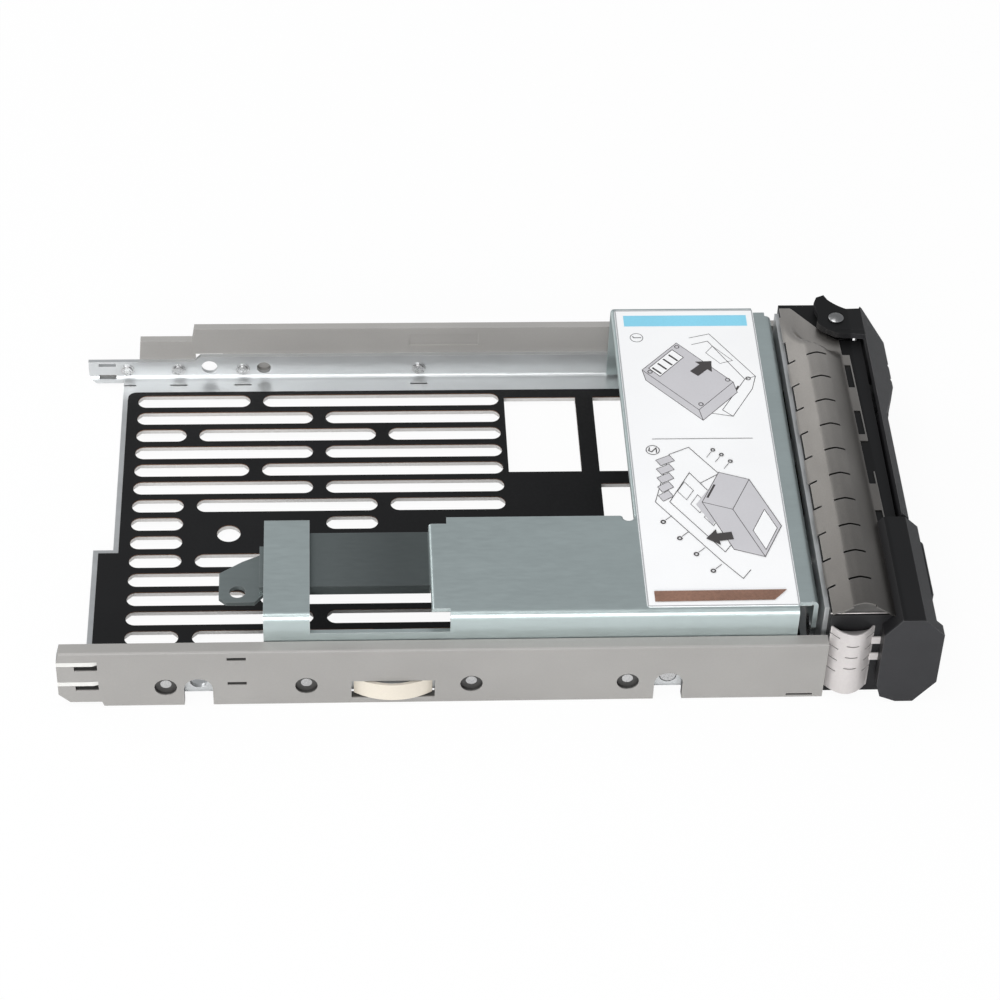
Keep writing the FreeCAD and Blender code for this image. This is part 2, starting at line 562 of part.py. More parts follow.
def make_near_rail():
    """The near guide rail, with the light pipe channels, damper window and screw notches."""
    nose = RAIL_REAR_CLEARANCE / 2
    top = [(RAIL_FRONT, RAIL_HEIGHT), (REAR + nose, RAIL_HEIGHT), (REAR, RAIL_HEIGHT - NEAR_LIP)]
    skin = side(rail_outline(top), -RAIL_OUT, -WALL_OUT)
    over_wall = WALL_TOP + SEAT_GAP
    lip = side([(REAR, over_wall), (RAIL_FRONT, over_wall)] + top, -WALL_OUT, -(RAIL_OUT - NEAR_LIP))
    rail = join([skin, lip])
    rail = rounded(rail, 0.5, lambda e: runs_along_x(e, -RAIL_OUT, RAIL_HEIGHT))
    through = (-RAIL_OUT - 1, -WALL_IN + 1)
    cutters = screw_notches(*through) + pipe_channels()
    for x in NEAR_RIVETS_X:
        cutters.append(peg(RIVET_POCKET_DIA / 2, (x, -RAIL_OUT - 1, RIVET_Z), 1 + RIVET_POCKET, (0, 1, 0)))
        cutters.append(peg(RIVET_SHANK_DIA / 2 + SEAT_GAP, (x, -RAIL_OUT - 1, RIVET_Z), 4, (0, 1, 0)))
    for z in TICK_SLOTS_Z:
        cutters.append(block(REAR + TICK_SLOT_AT, REAR + TICK_SLOT_AT + TICK_SLOT, -RAIL_OUT - 1, -RAIL_OUT + 0.8,
                             z - TICK_SLOT_HEIGHT / 2, z + TICK_SLOT_HEIGHT / 2))
    x = REAR + DAMPER_AT
    half = DAMPER_WINDOW / 2
    room = DAMPER_HEIGHT / 2 + RUNNING_GAP
    cutters.append(block(x - half, x + half, -RAIL_OUT - 1, -WALL_OUT + 0.01, DAMPER_Z - room, DAMPER_Z + room))
    cutters.append(block(RAIL_FRONT - 8.0, RAIL_FRONT - 2.2, -RAIL_OUT - 1, -RAIL_OUT + 0.8, 0.5, 1.1))
    return cut(rail, cutters)


def make_far_rail():
    """The far guide rail: its top steps down towards the rear."""
    top = [(RAIL_FRONT, RAIL_HEIGHT), (REAR + FAR_STEP_TWO, RAIL_HEIGHT), (REAR + FAR_STEP_TWO - 0.6, FAR_TOP_MIDDLE),
           (REAR + FAR_STEP_ONE, FAR_TOP_MIDDLE), (REAR + FAR_STEP_ONE - 0.6, FAR_TOP_REAR), (REAR, FAR_TOP_REAR)]
    rail = side(rail_outline(top), WALL_OUT, WALL_OUT + FAR_LIP)
    half = FAR_NOTCH / 2
    cutters = [block(x - half, x + half, WALL_IN, RAIL_OUT + 1, REST_PLANE - 1, FAR_NOTCH_TOP) for x in DRIVE_HOLES_X]
    for x in FAR_RIVETS_X:
        cutters.append(peg(RIVET_SHANK_DIA / 2 + SEAT_GAP, (x, WALL_OUT - 1, FAR_RIVET_Z), 4, (0, 1, 0)))
        cutters.append(peg(RIVET_POCKET_DIA / 2, (x, RAIL_OUT - RIVET_POCKET, FAR_RIVET_Z), 2, (0, 1, 0)))
    cutters.append(block(REAR - 1, REAR + FAR_REAR_INSET, WALL_IN, RAIL_OUT + 1, -1, FAR_TOP_REAR + 1))
    cutters.append(rod(WALL_HOLE_DIA / 2, (REAR + WALL_HOLE_AT, WALL_OUT - 1, WALL_HOLE_Z), 1 + RIVET_POCKET,
                       (0, 1, 0)))
    panel_at, panel_length, panel_height = NAME_PANEL
    cutters.append(block(REAR + panel_at, REAR + panel_at + panel_length, WALL_OUT - 1, WALL_OUT + NAME_PANEL_DEPTH,
                         NAME_PANEL_Z - panel_height / 2, NAME_PANEL_Z + panel_height / 2))
    return cut(rail, cutters)


def make_near_rivets():
    """Flush rivets that hold the near rail to the steel wall."""
    rivets = []
    for x in NEAR_RIVETS_X:
        end = -(RAIL_OUT - RIVET_POCKET)
        head = peg(RIVET_HEAD_DIA / 2, (x, -WALL_IN, RIVET_Z), SHEET / 2 - SEAT_GAP, (0, -1, 0))
        shank = peg(RIVET_SHANK_DIA / 2, (x, -WALL_IN, RIVET_Z), -WALL_IN - end, (0, -1, 0))
        rivets.append(head.fuse(shank))
    return Part.makeCompound(rivets)


def make_far_rivets():
    """Rivets that hold the far rail to the steel wall, with bevelled heads that stand proud."""
    rivets = []
    for x in FAR_RIVETS_X:
        low = RIVET_HEAD_DIA / 2
        foot = peg(low, (x, WALL_IN, FAR_RIVET_Z), RIVET_HEAD_RISE / 2, (0, -1, 0))
        crown = peg(low * 0.75, (x, WALL_IN - RIVET_HEAD_RISE / 2, FAR_RIVET_Z), RIVET_HEAD_RISE / 2, (0, -1, 0))
        shank = peg(RIVET_SHANK_DIA / 2, (x, WALL_IN, FAR_RIVET_Z), RAIL_OUT - RIVET_POCKET - WALL_IN, (0, 1, 0))
        rivets.append(join([foot, crown, shank]))
    return Part.makeCompound(rivets)


def make_near_damper():
    """The springy leaf that stands out of the near rail and takes up play in the bay."""
    x = REAR + DAMPER_AT
    half = DAMPER_LENGTH / 2
    crown = -(RAIL_OUT + DAMPER_BOW)
    foot = -(WALL_OUT + DAMPER_LEAF)
    z0, z1 = DAMPER_Z - DAMPER_HEIGHT / 2, DAMPER_Z + DAMPER_HEIGHT / 2
    leaf = [(x - half, foot), (x, crown, "arc"), (x + half, foot), (x + half, -WALL_OUT),
            (x + half - 1.5, -WALL_OUT), (x, crown + DAMPER_LEAF, "arc"), (x - half + 1.5, -WALL_OUT),
            (x - half, -WALL_OUT)]
    return plan(leaf, z0, z1)


# ---- Front frame -----------------------------------------------------------------------------
def frame_screw_places():
    """y places of the screws that hold the front frame to the tray's front wall."""
    return [FRAME_NEAR + inset for inset in FRAME_SCREWS_FROM_NEAR] + [FRAME_FAR - FRAME_SCREW_FROM_FAR]


def block_profile():
    """Eight-sided end outline (x, z) of the release block, with a lead-in at its lower rear."""
    back, front = BLOCK_REAR, BLOCK_RIM_FRONT
    low, high = REST_PLANE + LEVER_UNDERSIDE, BLOCK_TOP
    corner = BLOCK_CORNER
    return [(back + 1.0, low + 1.6), (back + corner, low), (front - corner, low), (front, low + corner + 1.4),
            (front, high - corner), (front - corner, high), (back + corner - 1.0, high), (back, high - corner),
            (back, low + corner + 0.4)]


def make_front_frame():
    """The hollow plastic frame across the front, with the hinge boss and the release block."""
    skin = FRAME_SKIN
    hinge_rear = HINGE_X - HINGE_RELIEF_X
    far_wall_end = FRAME_FAR
    shell = block(FRAME_REAR, FRAME_FRONT, FRAME_NEAR, far_wall_end, REST_PLANE, FRAME_TOP)
    shell = shell.cut(block(FRAME_REAR + skin, FRAME_FRONT - skin, FRAME_NEAR + skin, far_wall_end - skin,
                            REST_PLANE + skin, FRAME_TOP - skin))
    raise_z = HINGE_DECK_RAISE
    shell = cut(shell, [
        block(hinge_rear, FRAME_FRONT + 1, HINGE_BAY, far_wall_end + 1, REST_PLANE - 1, FRAME_TOP + 1),
        block(FRAME_REAR + skin, FRAME_FRONT + 1, HINGE_BAY, far_wall_end + 1, REST_PLANE - 1, raise_z)])
    seat = block(BUTTON_SEAT - skin, BUTTON_SEAT, FRAME_NEAR, BLOCK_FAR, REST_PLANE + skin, FRAME_TOP)
    floor = block(FRAME_REAR, hinge_rear, HINGE_BAY - skin, far_wall_end, raise_z, raise_z + skin)
    web = block(hinge_rear - skin, hinge_rear, HINGE_BAY - skin, far_wall_end, raise_z, FRAME_TOP)
    end = block(hinge_rear - skin, FRAME_FRONT, HINGE_BAY - skin, HINGE_BAY, REST_PLANE, FRAME_TOP)
    boss = rod(HINGE_BOSS_DIA / 2, (HINGE_X, HINGE_Y, raise_z), FRAME_TOP - raise_z, (0, 0, 1))
    neck = block(hinge_rear - skin, HINGE_X, HINGE_Y - HINGE_BOSS_DIA / 4, HINGE_Y + HINGE_BOSS_DIA / 4, raise_z,
                 FRAME_TOP)
    posts = [rod(SCREW_POST_DIA / 2, (FRAME_REAR, y, FRAME_SCREW_Z), SCREW_POST, (1, 0, 0))
             for y in frame_screw_places()]
    profile = block_profile()
    rim = side(profile, BLOCK_NEAR, BLOCK_NEAR + BLOCK_RIM)
    body = side(profile, BLOCK_NEAR, BLOCK_FAR)
    body = body.common(block(REAR, BLOCK_FRONT, BLOCK_NEAR, BLOCK_FAR, REST_PLANE, BLOCK_TOP + 1))
    frame = join([shell, seat, floor, web, end, boss, neck, rim, body] + posts)

    room = BUTTON_RIM + RUNNING_GAP
    half_y, half_z = BUTTON_LENGTH / 2 + RUNNING_GAP, BUTTON_HEIGHT / 2 + RUNNING_GAP
    y0, y1 = BUTTON_Y - half_y, BUTTON_Y + half_y
    z0, z1 = BUTTON_Z - half_z, BUTTON_Z + half_z
    cutters = [
        block(BUTTON_SEAT, BLOCK_FRONT - skin, y0 - BUTTON_RIM, y1 + BUTTON_RIM, z0 - BUTTON_RIM, z1 + BUTTON_RIM),
        block(BLOCK_FRONT - skin - 1, FRONT, y0, y1, z0, z1),
        block(BUTTON_SEAT, BLOCK_FRONT - skin, BLOCK_NEAR + skin, y0 - room - skin, z0, z1),
        block(FRAME_REAR + skin, BUTTON_SEAT - skin, FRAME_NEAR + skin, BLOCK_FAR + skin, REST_PLANE + skin,
              FRAME_TOP - skin).cut(Part.makeCompound(posts)),
        rod(STEM / 2 + RUNNING_GAP, (BUTTON_SEAT - skin - 1, BUTTON_Y, BUTTON_Z), 3 * skin, (1, 0, 0)),
        block(CATCH_X - CATCH / 2 - RUNNING_GAP, FRONT, BLOCK_FAR - skin - 0.5, BLOCK_FAR + 1,
              BUTTON_Z - CATCH - RUNNING_GAP, BUTTON_Z + CATCH + RUNNING_GAP),
        rod(PIN_DIA / 2 + SEAT_GAP, (HINGE_X, HINGE_Y, 0), FRAME_TOP + 1, (0, 0, 1)),
    ]
    for y in VENT_CENTRES:
        cutters.append(block(FRAME_REAR - 1, FRAME_REAR + 2 * skin, y - VENT_WIDTH / 2, y + VENT_WIDTH / 2, VENT_LOW,
                             VENT_HIGH))
        cutters.append(block(FRAME_FRONT - 2 * skin, FRAME_FRONT + 1, y - VENT_WIDTH / 2, y + VENT_WIDTH / 2,
                             VENT_LOW, VENT_HIGH))
    for y in frame_screw_places():
        cutters.append(peg(FRAME_SCREW_DIA / 2 + SEAT_GAP, (FRAME_REAR - 1, y, FRAME_SCREW_Z), SCREW_POST, (1, 0, 0)))
    pipe_room = PIPE + 2 * PIPE_GAP
    for path in pipe_paths().values():
        cutters.append(square_pipe(path[:-1] + [(FRONT + 1,) + path[-1][1:]], pipe_room))
    return cut(frame, cutters)


def make_frame_screws():
    """Pan-head screws through the tray's front wall into the frame's posts."""
    screws = []
    for y in frame_screw_places():
        head_x = PAN_FRONT - SHEET
        head = peg(FRAME_SCREW_HEAD_DIA / 2, (head_x - FRAME_SCREW_HEAD, y, FRAME_SCREW_Z), FRAME_SCREW_HEAD,
                   (1, 0, 0))
        shank = peg(FRAME_SCREW_DIA / 2, (head_x, y, FRAME_SCREW_Z), SHEET + SCREW_POST - 1.5, (1, 0, 0))
        cross = FRAME_SCREW_HEAD_DIA / 4
        slots = [block(head_x - FRAME_SCREW_HEAD - 1, head_x - FRAME_SCREW_HEAD / 2, y - a, y + a,
                       FRAME_SCREW_Z - b, FRAME_SCREW_Z + b) for a, b in ((cross, 0.3), (0.3, cross))]
        screws.append(cut(head.fuse(shank), slots))
    return Part.makeCompound(screws)


def gasket_strip(half_chord, rise, thickness):
    """Outline (u, v) of an arched spring strip: two feet and a bow between them."""
    foot = half_chord * 0.12
    inner = half_chord - foot
    return [(-half_chord, 0), (-inner, 0), (0, rise - thickness, "arc"), (inner, 0), (half_chord, 0),
            (half_chord, thickness), (inner, thickness), (0, rise, "arc"), (-inner, thickness),
            (-half_chord, thickness)]


def make_top_gasket():
    """The arched shielding strip on top of the frame, split into fingers."""
    centre = FRAME_REAR + TOP_GASKET_WIDTH / 2
    arch = face_of([(centre + p[0], FRAME_TOP + p[1]) + tuple(p[2:])
                    for p in gasket_strip(TOP_GASKET_WIDTH / 2, TOP_GASKET_RISE, GASKET)],
                   lambda x, z: V(x, FRAME_NEAR, z)).extrude(V(0, HINGE_Y + TOP_GASKET_PAST_PIN - FRAME_NEAR, 0))
    tongue_rear = PAN_FRONT - SHEET
    tongue = block(tongue_rear, tongue_rear + TONGUE_STRIP_WIDTH, FRAME_NEAR, FRAME_FAR - 1.0, FRAME_TOP,
                   FRAME_TOP + GASKET)
    gasket = join([arch, tongue])
    high = FRAME_TOP + TOP_GASKET_RISE + 1
    sweep = [(HINGE_X - 12, HINGE_Y + 0.6), (HINGE_X - 8.9, HINGE_Y - 0.4), (HINGE_X - 5.2, HINGE_Y - 3.4),
             (HINGE_X - 3.4, HINGE_Y - 5.1), (HINGE_X + 4, HINGE_Y - 5.1), (HINGE_X + 4, HINGE_Y + 4),
             (HINGE_X - 12, HINGE_Y + 4)]
    cutters = [plan(sweep, FRAME_TOP + GASKET, high),
               block(tongue_rear + TONGUE_STRIP_WIDTH, FRAME_FRONT, HINGE_Y - 5.1, FRAME_FAR + 1, FRAME_TOP - 1, high)]
    for number in range(FINGER_COUNT):
        y = HINGE_Y - FINGER_FIRST - number * FINGER_PITCH
        half = FINGER_SLIT / 2
        cutters.append(block(centre - 0.5 * FINGER_SLIT_LENGTH, centre + 0.5 * FINGER_SLIT_LENGTH, y - half, y + half,
                             FRAME_TOP + 1.2, high))
        cutters.append(block(tongue_rear - 1, FRAME_REAR + 1.8, y - half, y + half, FRAME_TOP - 1, FRAME_TOP + 1.2))
    return cut(gasket, cutters)


def make_near_gasket():
    """The upright arched shielding strip on the near end of the frame."""
    centre = FRAME_REAR + NEAR_GASKET_REAR_INSET + NEAR_GASKET_WIDTH / 2
    outline = [(centre + p[0], FRAME_NEAR - p[1]) + tuple(p[2:])
               for p in gasket_strip(NEAR_GASKET_WIDTH / 2, NEAR_GASKET_RISE, GASKET)]
    strip = plan(outline, NEAR_GASKET_LOW, NEAR_GASKET_HIGH)
    cutters = []
    for number in range(1, NEAR_FINGERS):
        z = NEAR_GASKET_LOW + number * (NEAR_GASKET_HIGH - NEAR_GASKET_LOW) / NEAR_FINGERS
        reach = NEAR_GASKET_WIDTH * 0.3
        cutters.append(block(centre - reach, centre + reach, FRAME_NEAR - 5, FRAME_NEAR - 2 * GASKET,
                             z - FINGER_SLIT / 2, z + FINGER_SLIT / 2))
    return cut(strip, cutters)


# ---- Lever -----------------------------------------------------------------------------------
def lever_plan(inset):
    """Plan outline (x, y) of the lever's front: thin beside the button, deep near the hinge."""
    front = FRONT - inset
    shallow = front - LEVER_WAIST
    near = LEVER_NEAR + inset
    far = LEVER_FAR - inset
    back = LEVER_REAR - (1.0 if inset else 0.0)
    ramp_near, ramp_far = [HINGE_Y - reach for reach in LEVER_RAMP]
    return [(back, near), (shallow, near), (shallow, ramp_near), (front, ramp_far), (front, far - 6.3),
            (back + (2.0 if inset else 0.6), far), (back, far)]


def lever_section(inset):
    """Section (x, z) of the lever: chamfered above and below, open to the rear."""
    slope = math.atan2(LEVER_CHAMFER_Z, LEVER_CHAMFER_X)
    low_slope = math.atan2(LEVER_LOWER_CHAMFER_Z, LEVER_CHAMFER_X)
    top = LEVER_TOP - inset / math.cos(slope)
    low = LEVER_UNDERSIDE + inset / math.cos(low_slope)
    front = FRONT - inset
    x = LEVER_REAR
    back = x - (1.0 if inset else 0.0)
    rise = math.tan(slope)
    low_rise = math.tan(low_slope)
    return [(back, low + (x - back) * -low_rise), (front, low + (front - x) * low_rise),
            (front, top - (front - x) * rise), (back, top + (x - back) * rise)]


def hinge_arm(z0, z1):
    """One flat arm of the lever round the pin, with a hooked outer end that clears the bay."""
    reach, back = HOOK_REACH, HOOK_BACK
    points = [(-1.9, reach), (-3.8, reach - 0.9), (-back, reach - 2.9), (-back + 0.2, 3.5), (-3.9, 1.5), (-4.6, -1.0),
              (-3.3, -3.1, "arc"), (-1.4, -4.0), (LEVER_REAR - HINGE_X, -4.0), (LEVER_REAR - HINGE_X, 4.3), (5.9, 3.6),
              (2.8, 3.5), (1.1, 4.6, "arc"), (-1.2, 6.9)]
    return plan([(HINGE_X + p[0], HINGE_Y + p[1]) + tuple(p[2:]) for p in points], z0, z1)


def honeycomb(y0, y1, z_middle):
    """Cutters for the rows of six-sided cells in the lever's face."""
    pitch = HEX_ACROSS + HEX_WEB
    corner = HEX_ACROSS / math.sqrt(3)
    cutters = []
    for row in range(HEX_ROWS):
        z = z_middle + (row - (HEX_ROWS - 1) / 2) * pitch * math.sqrt(3) / 2
        shift = pitch / 2 if row % 2 else 0
        count = int((y1 - y0 - shift) // pitch)
        for column in range(count):
            y = y0 + shift + (column + 0.5) * pitch
            ring = [(y + corner * math.sin(k * math.pi / 3), z + corner * math.cos(k * math.pi / 3))
                    for k in range(6)]
            cutters.append(section(ring, LEVER_REAR + 0.2, FRONT + 1))
    return cutters


def make_lever():
    """The swing lever: a chamfered honeycomb front on two hinge arms."""
    height = (LEVER_UNDERSIDE - 2, LEVER_TOP + 2)
    outer = side(lever_section(0), LEVER_NEAR, LEVER_FAR).common(plan(lever_plan(0), *height))
    inner = side(lever_section(LEVER_WALL), LEVER_NEAR + LEVER_WALL, LEVER_FAR - LEVER_WALL)
    inner = inner.common(plan(lever_plan(LEVER_WALL), *height))
    arms = [hinge_arm(LEVER_TOP - LEVER_ARM, LEVER_TOP),
            hinge_arm(LEVER_UNDERSIDE, LEVER_UNDERSIDE + LEVER_ARM)]
    catch = block(CATCH_X - CATCH / 2, CATCH_X + CATCH / 2, BLOCK_FAR - FRAME_SKIN + RUNNING_GAP,
                  LEVER_NEAR + LEVER_WALL, BUTTON_Z - CATCH, BUTTON_Z + CATCH)
    lever = join([outer.cut(inner), catch] + arms)
    bore = rod(PIN_DIA / 2 + PIN_CLEARANCE, (HINGE_X, HINGE_Y, -1), LEVER_TOP + 2, (0, 0, 1))
    middle = (LEVER_UNDERSIDE + LEVER_LOWER_CHAMFER_Z + LEVER_TOP - LEVER_CHAMFER_Z) / 2
    return cut(lever, [bore] + honeycomb(LEVER_NEAR + 3.2, LEVER_FAR - 9.0, middle))


def make_lever_pin():
    """The steel pin of the lever, domed above the upper arm."""
    low = LEVER_UNDERSIDE + 0.1
    head_z = LEVER_TOP + RUNNING_GAP
    shank = rod(PIN_DIA / 2, (HINGE_X, HINGE_Y, low), head_z - low, (0, 0, 1))
    radius = PIN_HEAD_DIA / 2
    ball = (radius ** 2 + PIN_HEAD ** 2) / (2 * PIN_HEAD)
    dome = Part.makeSphere(ball, V(HINGE_X, HINGE_Y, head_z + PIN_HEAD - ball))
    dome = dome.common(block(HINGE_X - 4, HINGE_X + 4, HINGE_Y - 4, HINGE_Y + 4, head_z, head_z + 2))
    return join([shank, dome])


def make_release_button():
    """The release button: a cap with a rim behind the block's face, and a guide stem."""
    front = FRONT - BUTTON_FRONT_INSET
    rim_front = BLOCK_FRONT - FRAME_SKIN - RUNNING_GAP
    y0, y1 = BUTTON_Y - BUTTON_LENGTH / 2, BUTTON_Y + BUTTON_LENGTH / 2
    z0, z1 = BUTTON_Z - BUTTON_HEIGHT / 2, BUTTON_Z + BUTTON_HEIGHT / 2
    cap = block(rim_front - 1.0, front, y0, y1, z0, z1)
    cap = rounded(cap, 0.8, lambda e: all(abs(v.Point.x - front) < 0.01 for v in e.Vertexes))
    rim = block(rim_front - 1.0, rim_front, y0 - BUTTON_RIM + RUNNING_GAP, y1 + BUTTON_RIM - RUNNING_GAP,
                z0 - BUTTON_RIM + RUNNING_GAP, z1 + BUTTON_RIM - RUNNING_GAP)
    stem_end = BUTTON_SEAT - FRAME_SKIN / 2
    stem = rod(STEM / 2, (stem_end, BUTTON_Y, BUTTON_Z), rim_front - stem_end, (1, 0, 0))
    return join([cap, rim, stem])


def make_button_spring():
    """The coil spring that returns the button, seated on the frame's front wall."""
    rim_back = BLOCK_FRONT - FRAME_SKIN - RUNNING_GAP - 1.0
    start = BUTTON_SEAT + SPRING_WIRE / 2
    length = rim_back - BUTTON_SEAT - SPRING_WIRE
    turn = FreeCAD.Rotation(V(0, 1, 0), 90)
    return coil(STEM / 2 + 1.2, SPRING_WIRE, SPRING_TURNS, length,
                FreeCAD.Placement(V(start, BUTTON_Y, BUTTON_Z), turn))


# ---- Adapter bracket -------------------------------------------------------------------------
def folded_channel(x0, x1, low):
    """An upturned U of sheet steel (legs down) between two x places."""
    w = BRACKET_HALF
    top = BRACKET_TOP
    r = BRACKET_BEND + SHEET
    k = r * (1 - math.sqrt(0.5))
    q = BRACKET_BEND
    j = q * (1 - math.sqrt(0.5))
    i = w - SHEET
    under = top - SHEET
    outline = [(-w, low), (-w, top - r), (-w + k, top - k, "arc"), (-w + r, top), (w - r, top),
               (w - k, top - k, "arc"), (w, top - r), (w, low), (i, low), (i, under - q), (i - j, under - j, "arc"),
               (i - q, under), (-i + q, under), (-i + j, under - j, "arc"), (-i, under - q), (-i, low)]
    return section(outline, x0, x1)


def front_roll(y0, y1):
    """The bridge's front edge, rolled down into a short flange."""
    top = BRACKET_TOP
    r = BRACKET_BEND + SHEET
    k = r * (1 - math.sqrt(0.5))
    q = BRACKET_BEND
    j = q * (1 - math.sqrt(0.5))
    front = BRIDGE_FRONT
    low = top - FRONT_FLANGE_HEIGHT
    outline = [(front - r, top), (front - k, top - k, "arc"), (front, top - r), (front, low), (front - SHEET, low),
               (front - SHEET, top - SHEET - q), (front - SHEET - j, top - SHEET - j, "arc"),
               (front - r, top - SHEET)]
    return side(outline, y0, y1)


def make_adapter_bracket():
    """One folded sheet: bridge with side flanges, near plate, strap and a dropped tongue."""
    w = BRACKET_HALF
    top = BRACKET_TOP
    under = top - SHEET
    bridge_rear = BRIDGE_REAR
    roll_start = BRIDGE_FRONT - BRACKET_BEND - SHEET
    flange_front = BRIDGE_FRONT - SIDE_FLANGE_SETBACK
    arm_rear, shoulder = ARM_REAR, ARM_REAR + SHOULDER_LENGTH
    strap_rear = STRAP_REAR
    strap_front = strap_rear + STRAP_WIDTH
    arm_edge = -w + ARM_WIDTH
    tongue_far = arm_edge - ARM_SHOULDER_DROP
    tongue_near = tongue_far - TONGUE_WIDTH
    tongue_top = top - TONGUE_DROP
    tip_top = tongue_top - ARM_SHOULDER_DROP

    channel = folded_channel(strap_rear, roll_start, FLANGE_UNDERSIDE)
    high, low = top + 1, 0
    channel = cut(channel, [
        block(strap_rear - 1, bridge_rear, arm_edge, w + 1, low, high),
        block(strap_front, arm_rear, -w - 1, arm_edge + 1, TIE_TOP, high),
        block(arm_rear - 0.01, shoulder, arm_edge - ARM_SHOULDER_DROP, arm_edge + 1, low, high),
        block(arm_rear - 0.01, shoulder, -w - 1, -w + ARM_SHOULDER_DROP, TIE_TOP, high),
        block(strap_rear - 1, shoulder, -w - 1, -w + 3, low, TIE_TOP - TIE_HEIGHT),
        block(flange_front, roll_start + 1, -w - 1, -w + 2.5, low, high),
        block(flange_front, roll_start + 1, w - 2.5, w + 1, low, high),
        rod(RELIEF_DIA / 2, (bridge_rear - RELIEF_DIA / 2, arm_edge, low), high, (0, 0, 1)),
    ])
    roll = front_roll(-w + FRONT_ROLL_NEAR, w - FRONT_ROLL_FAR)

    tip = STRAP_REAR - TONGUE_POINT
    joggle = STRAP_REAR
    tongue = plan([(joggle, tongue_near), (arm_rear + SHEET, tongue_near), (arm_rear + SHEET, tongue_far),
                   (strap_front, tongue_far), (strap_front, arm_edge), (strap_rear, arm_edge),
                   (joggle, tongue_far - 4.0)], tongue_top - SHEET, tongue_top)
    rise = block(arm_rear, arm_rear + SHEET, tongue_near, tongue_far, tongue_top - SHEET, top)
    step = block(joggle - SHEET, joggle, tongue_near, tongue_far - 4.0, tip_top - SHEET, tongue_top)
    point = plan([(joggle, tongue_near), (joggle, tongue_far - 4.2), (joggle - 4.8, tongue_far - 6.7),
                  (tip, tongue_far - 10.2), (tip, tongue_near - 1.0), (tip + 1.6, tongue_near - 2.6),
                  (joggle - 2.0, tongue_near - 2.6)], tip_top - SHEET, tip_top)
    drop = block(strap_rear, strap_front, arm_edge - SHEET, arm_edge, tongue_top - SHEET, top)
    stiffener = block(joggle, arm_rear, tongue_near, tongue_near + SHEET, tongue_top - 2.5 * SHEET, tongue_top)
    bracket = join([channel, roll, tongue, rise, step, point, drop, stiffener])
    hole = rod(TONGUE_HOLE_DIA / 2, (tip + 4.0, tongue_near + 0.6, low), high, (0, 0, 1))
    studs = [rod(STUD_DIA / 2, (DRIVE_HOLES_X[1], s * w, DRIVE_HOLE_Z), 2 * SHEET, (0, -s, 0)) for s in (-1, 1)]
    bracket = cut(bracket, [hole] + studs)
    bends = [(arm_rear, top), (strap_rear, top)]
    bracket = rounded(bracket, SHEET * 0.8,
                      lambda e: runs_along_x(e, arm_edge, top) and e.Length < STRAP_WIDTH + 0.1
                      or runs_along_y(e, bends[0][0], top))
    return bracket


def make_bracket_studs():
    """Studs riveted in the bracket's flanges; they seat in the tray's drive screw holes."""
    studs = []
    for s in (-1, 1):
        inner_face = s * (BRACKET_HALF - SHEET)
        reach = WALL_OUT - SEAT_GAP - (BRACKET_HALF - SHEET)
        stem = rod(STUD_DIA / 2, (DRIVE_HOLES_X[1], inner_face, DRIVE_HOLE_Z), reach, (0, s, 0))
        head = rod(STUD_DIA / 2 + 0.8, (DRIVE_HOLES_X[1], inner_face, DRIVE_HOLE_Z), 0.8, (0, -s, 0))
        studs.append(join([stem, head]))
    return Part.makeCompound(studs)


def make_bracket_label():
    """The instruction label on the bridge."""
    x0 = BRIDGE_REAR + LABEL_INSET
    x1 = x0 + LABEL_LENGTH
    half = DRIVE_WIDTH / 2 - LABEL_SIDE_MARGIN
    label = block(x0, x1, -half, half, BRACKET_TOP, BRACKET_TOP + LABEL)
    return rounded(label, 0.8, lambda e: e.Length < 2 * LABEL)


PIECES = {
    "tray_pan": make_tray_pan,
    "floor_film": make_floor_film,
    "near_rail": make_near_rail,
    "far_rail": make_far_rail,
    "near_rail_rivets": make_near_rivets,
    "far_rail_rivets": make_far_rivets,
    "upper_light_pipe": lambda: make_light_pipe("upper_light_pipe"),
    "lower_light_pipe": lambda: make_light_pipe("lower_light_pipe"),
    "near_damper": make_near_damper,
    "front_frame": make_front_frame,
    "frame_screws": make_frame_screws,
    "top_gasket": make_top_gasket,
    "near_gasket": make_near_gasket,
    "lever": make_lever,
    "lever_pin": make_lever_pin,
    "release_button": make_release_button,
    "button_spring": make_button_spring,
    "adapter_bracket": make_adapter_bracket,
    "bracket_studs": make_bracket_studs,
    "bracket_label": make_bracket_label,
}

os.makedirs("parts", exist_ok=True)
for name, make in PIECES.items():
    shape = make()
    box = shape.BoundBox
    print(name, len(shape.Solids), "solids", shape.isValid(), "x %.2f %.2f  y %.2f %.2f  z %.2f %.2f" % (
        box.XMin, box.XMax, box.YMin, box.YMax, box.ZMin, box.ZMax), "volume %.0f" % shape.Volume)
    shape.exportStep("parts/" + name + ".step")
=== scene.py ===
"""Studio scene of a hot swap drive caddy: finishes, printed label, shielding strips, lights."""

import json
import logging
import math
from dataclasses import dataclass
from enum import Enum

import bpy
import numpy as np
from mathutils import Matrix, Vector

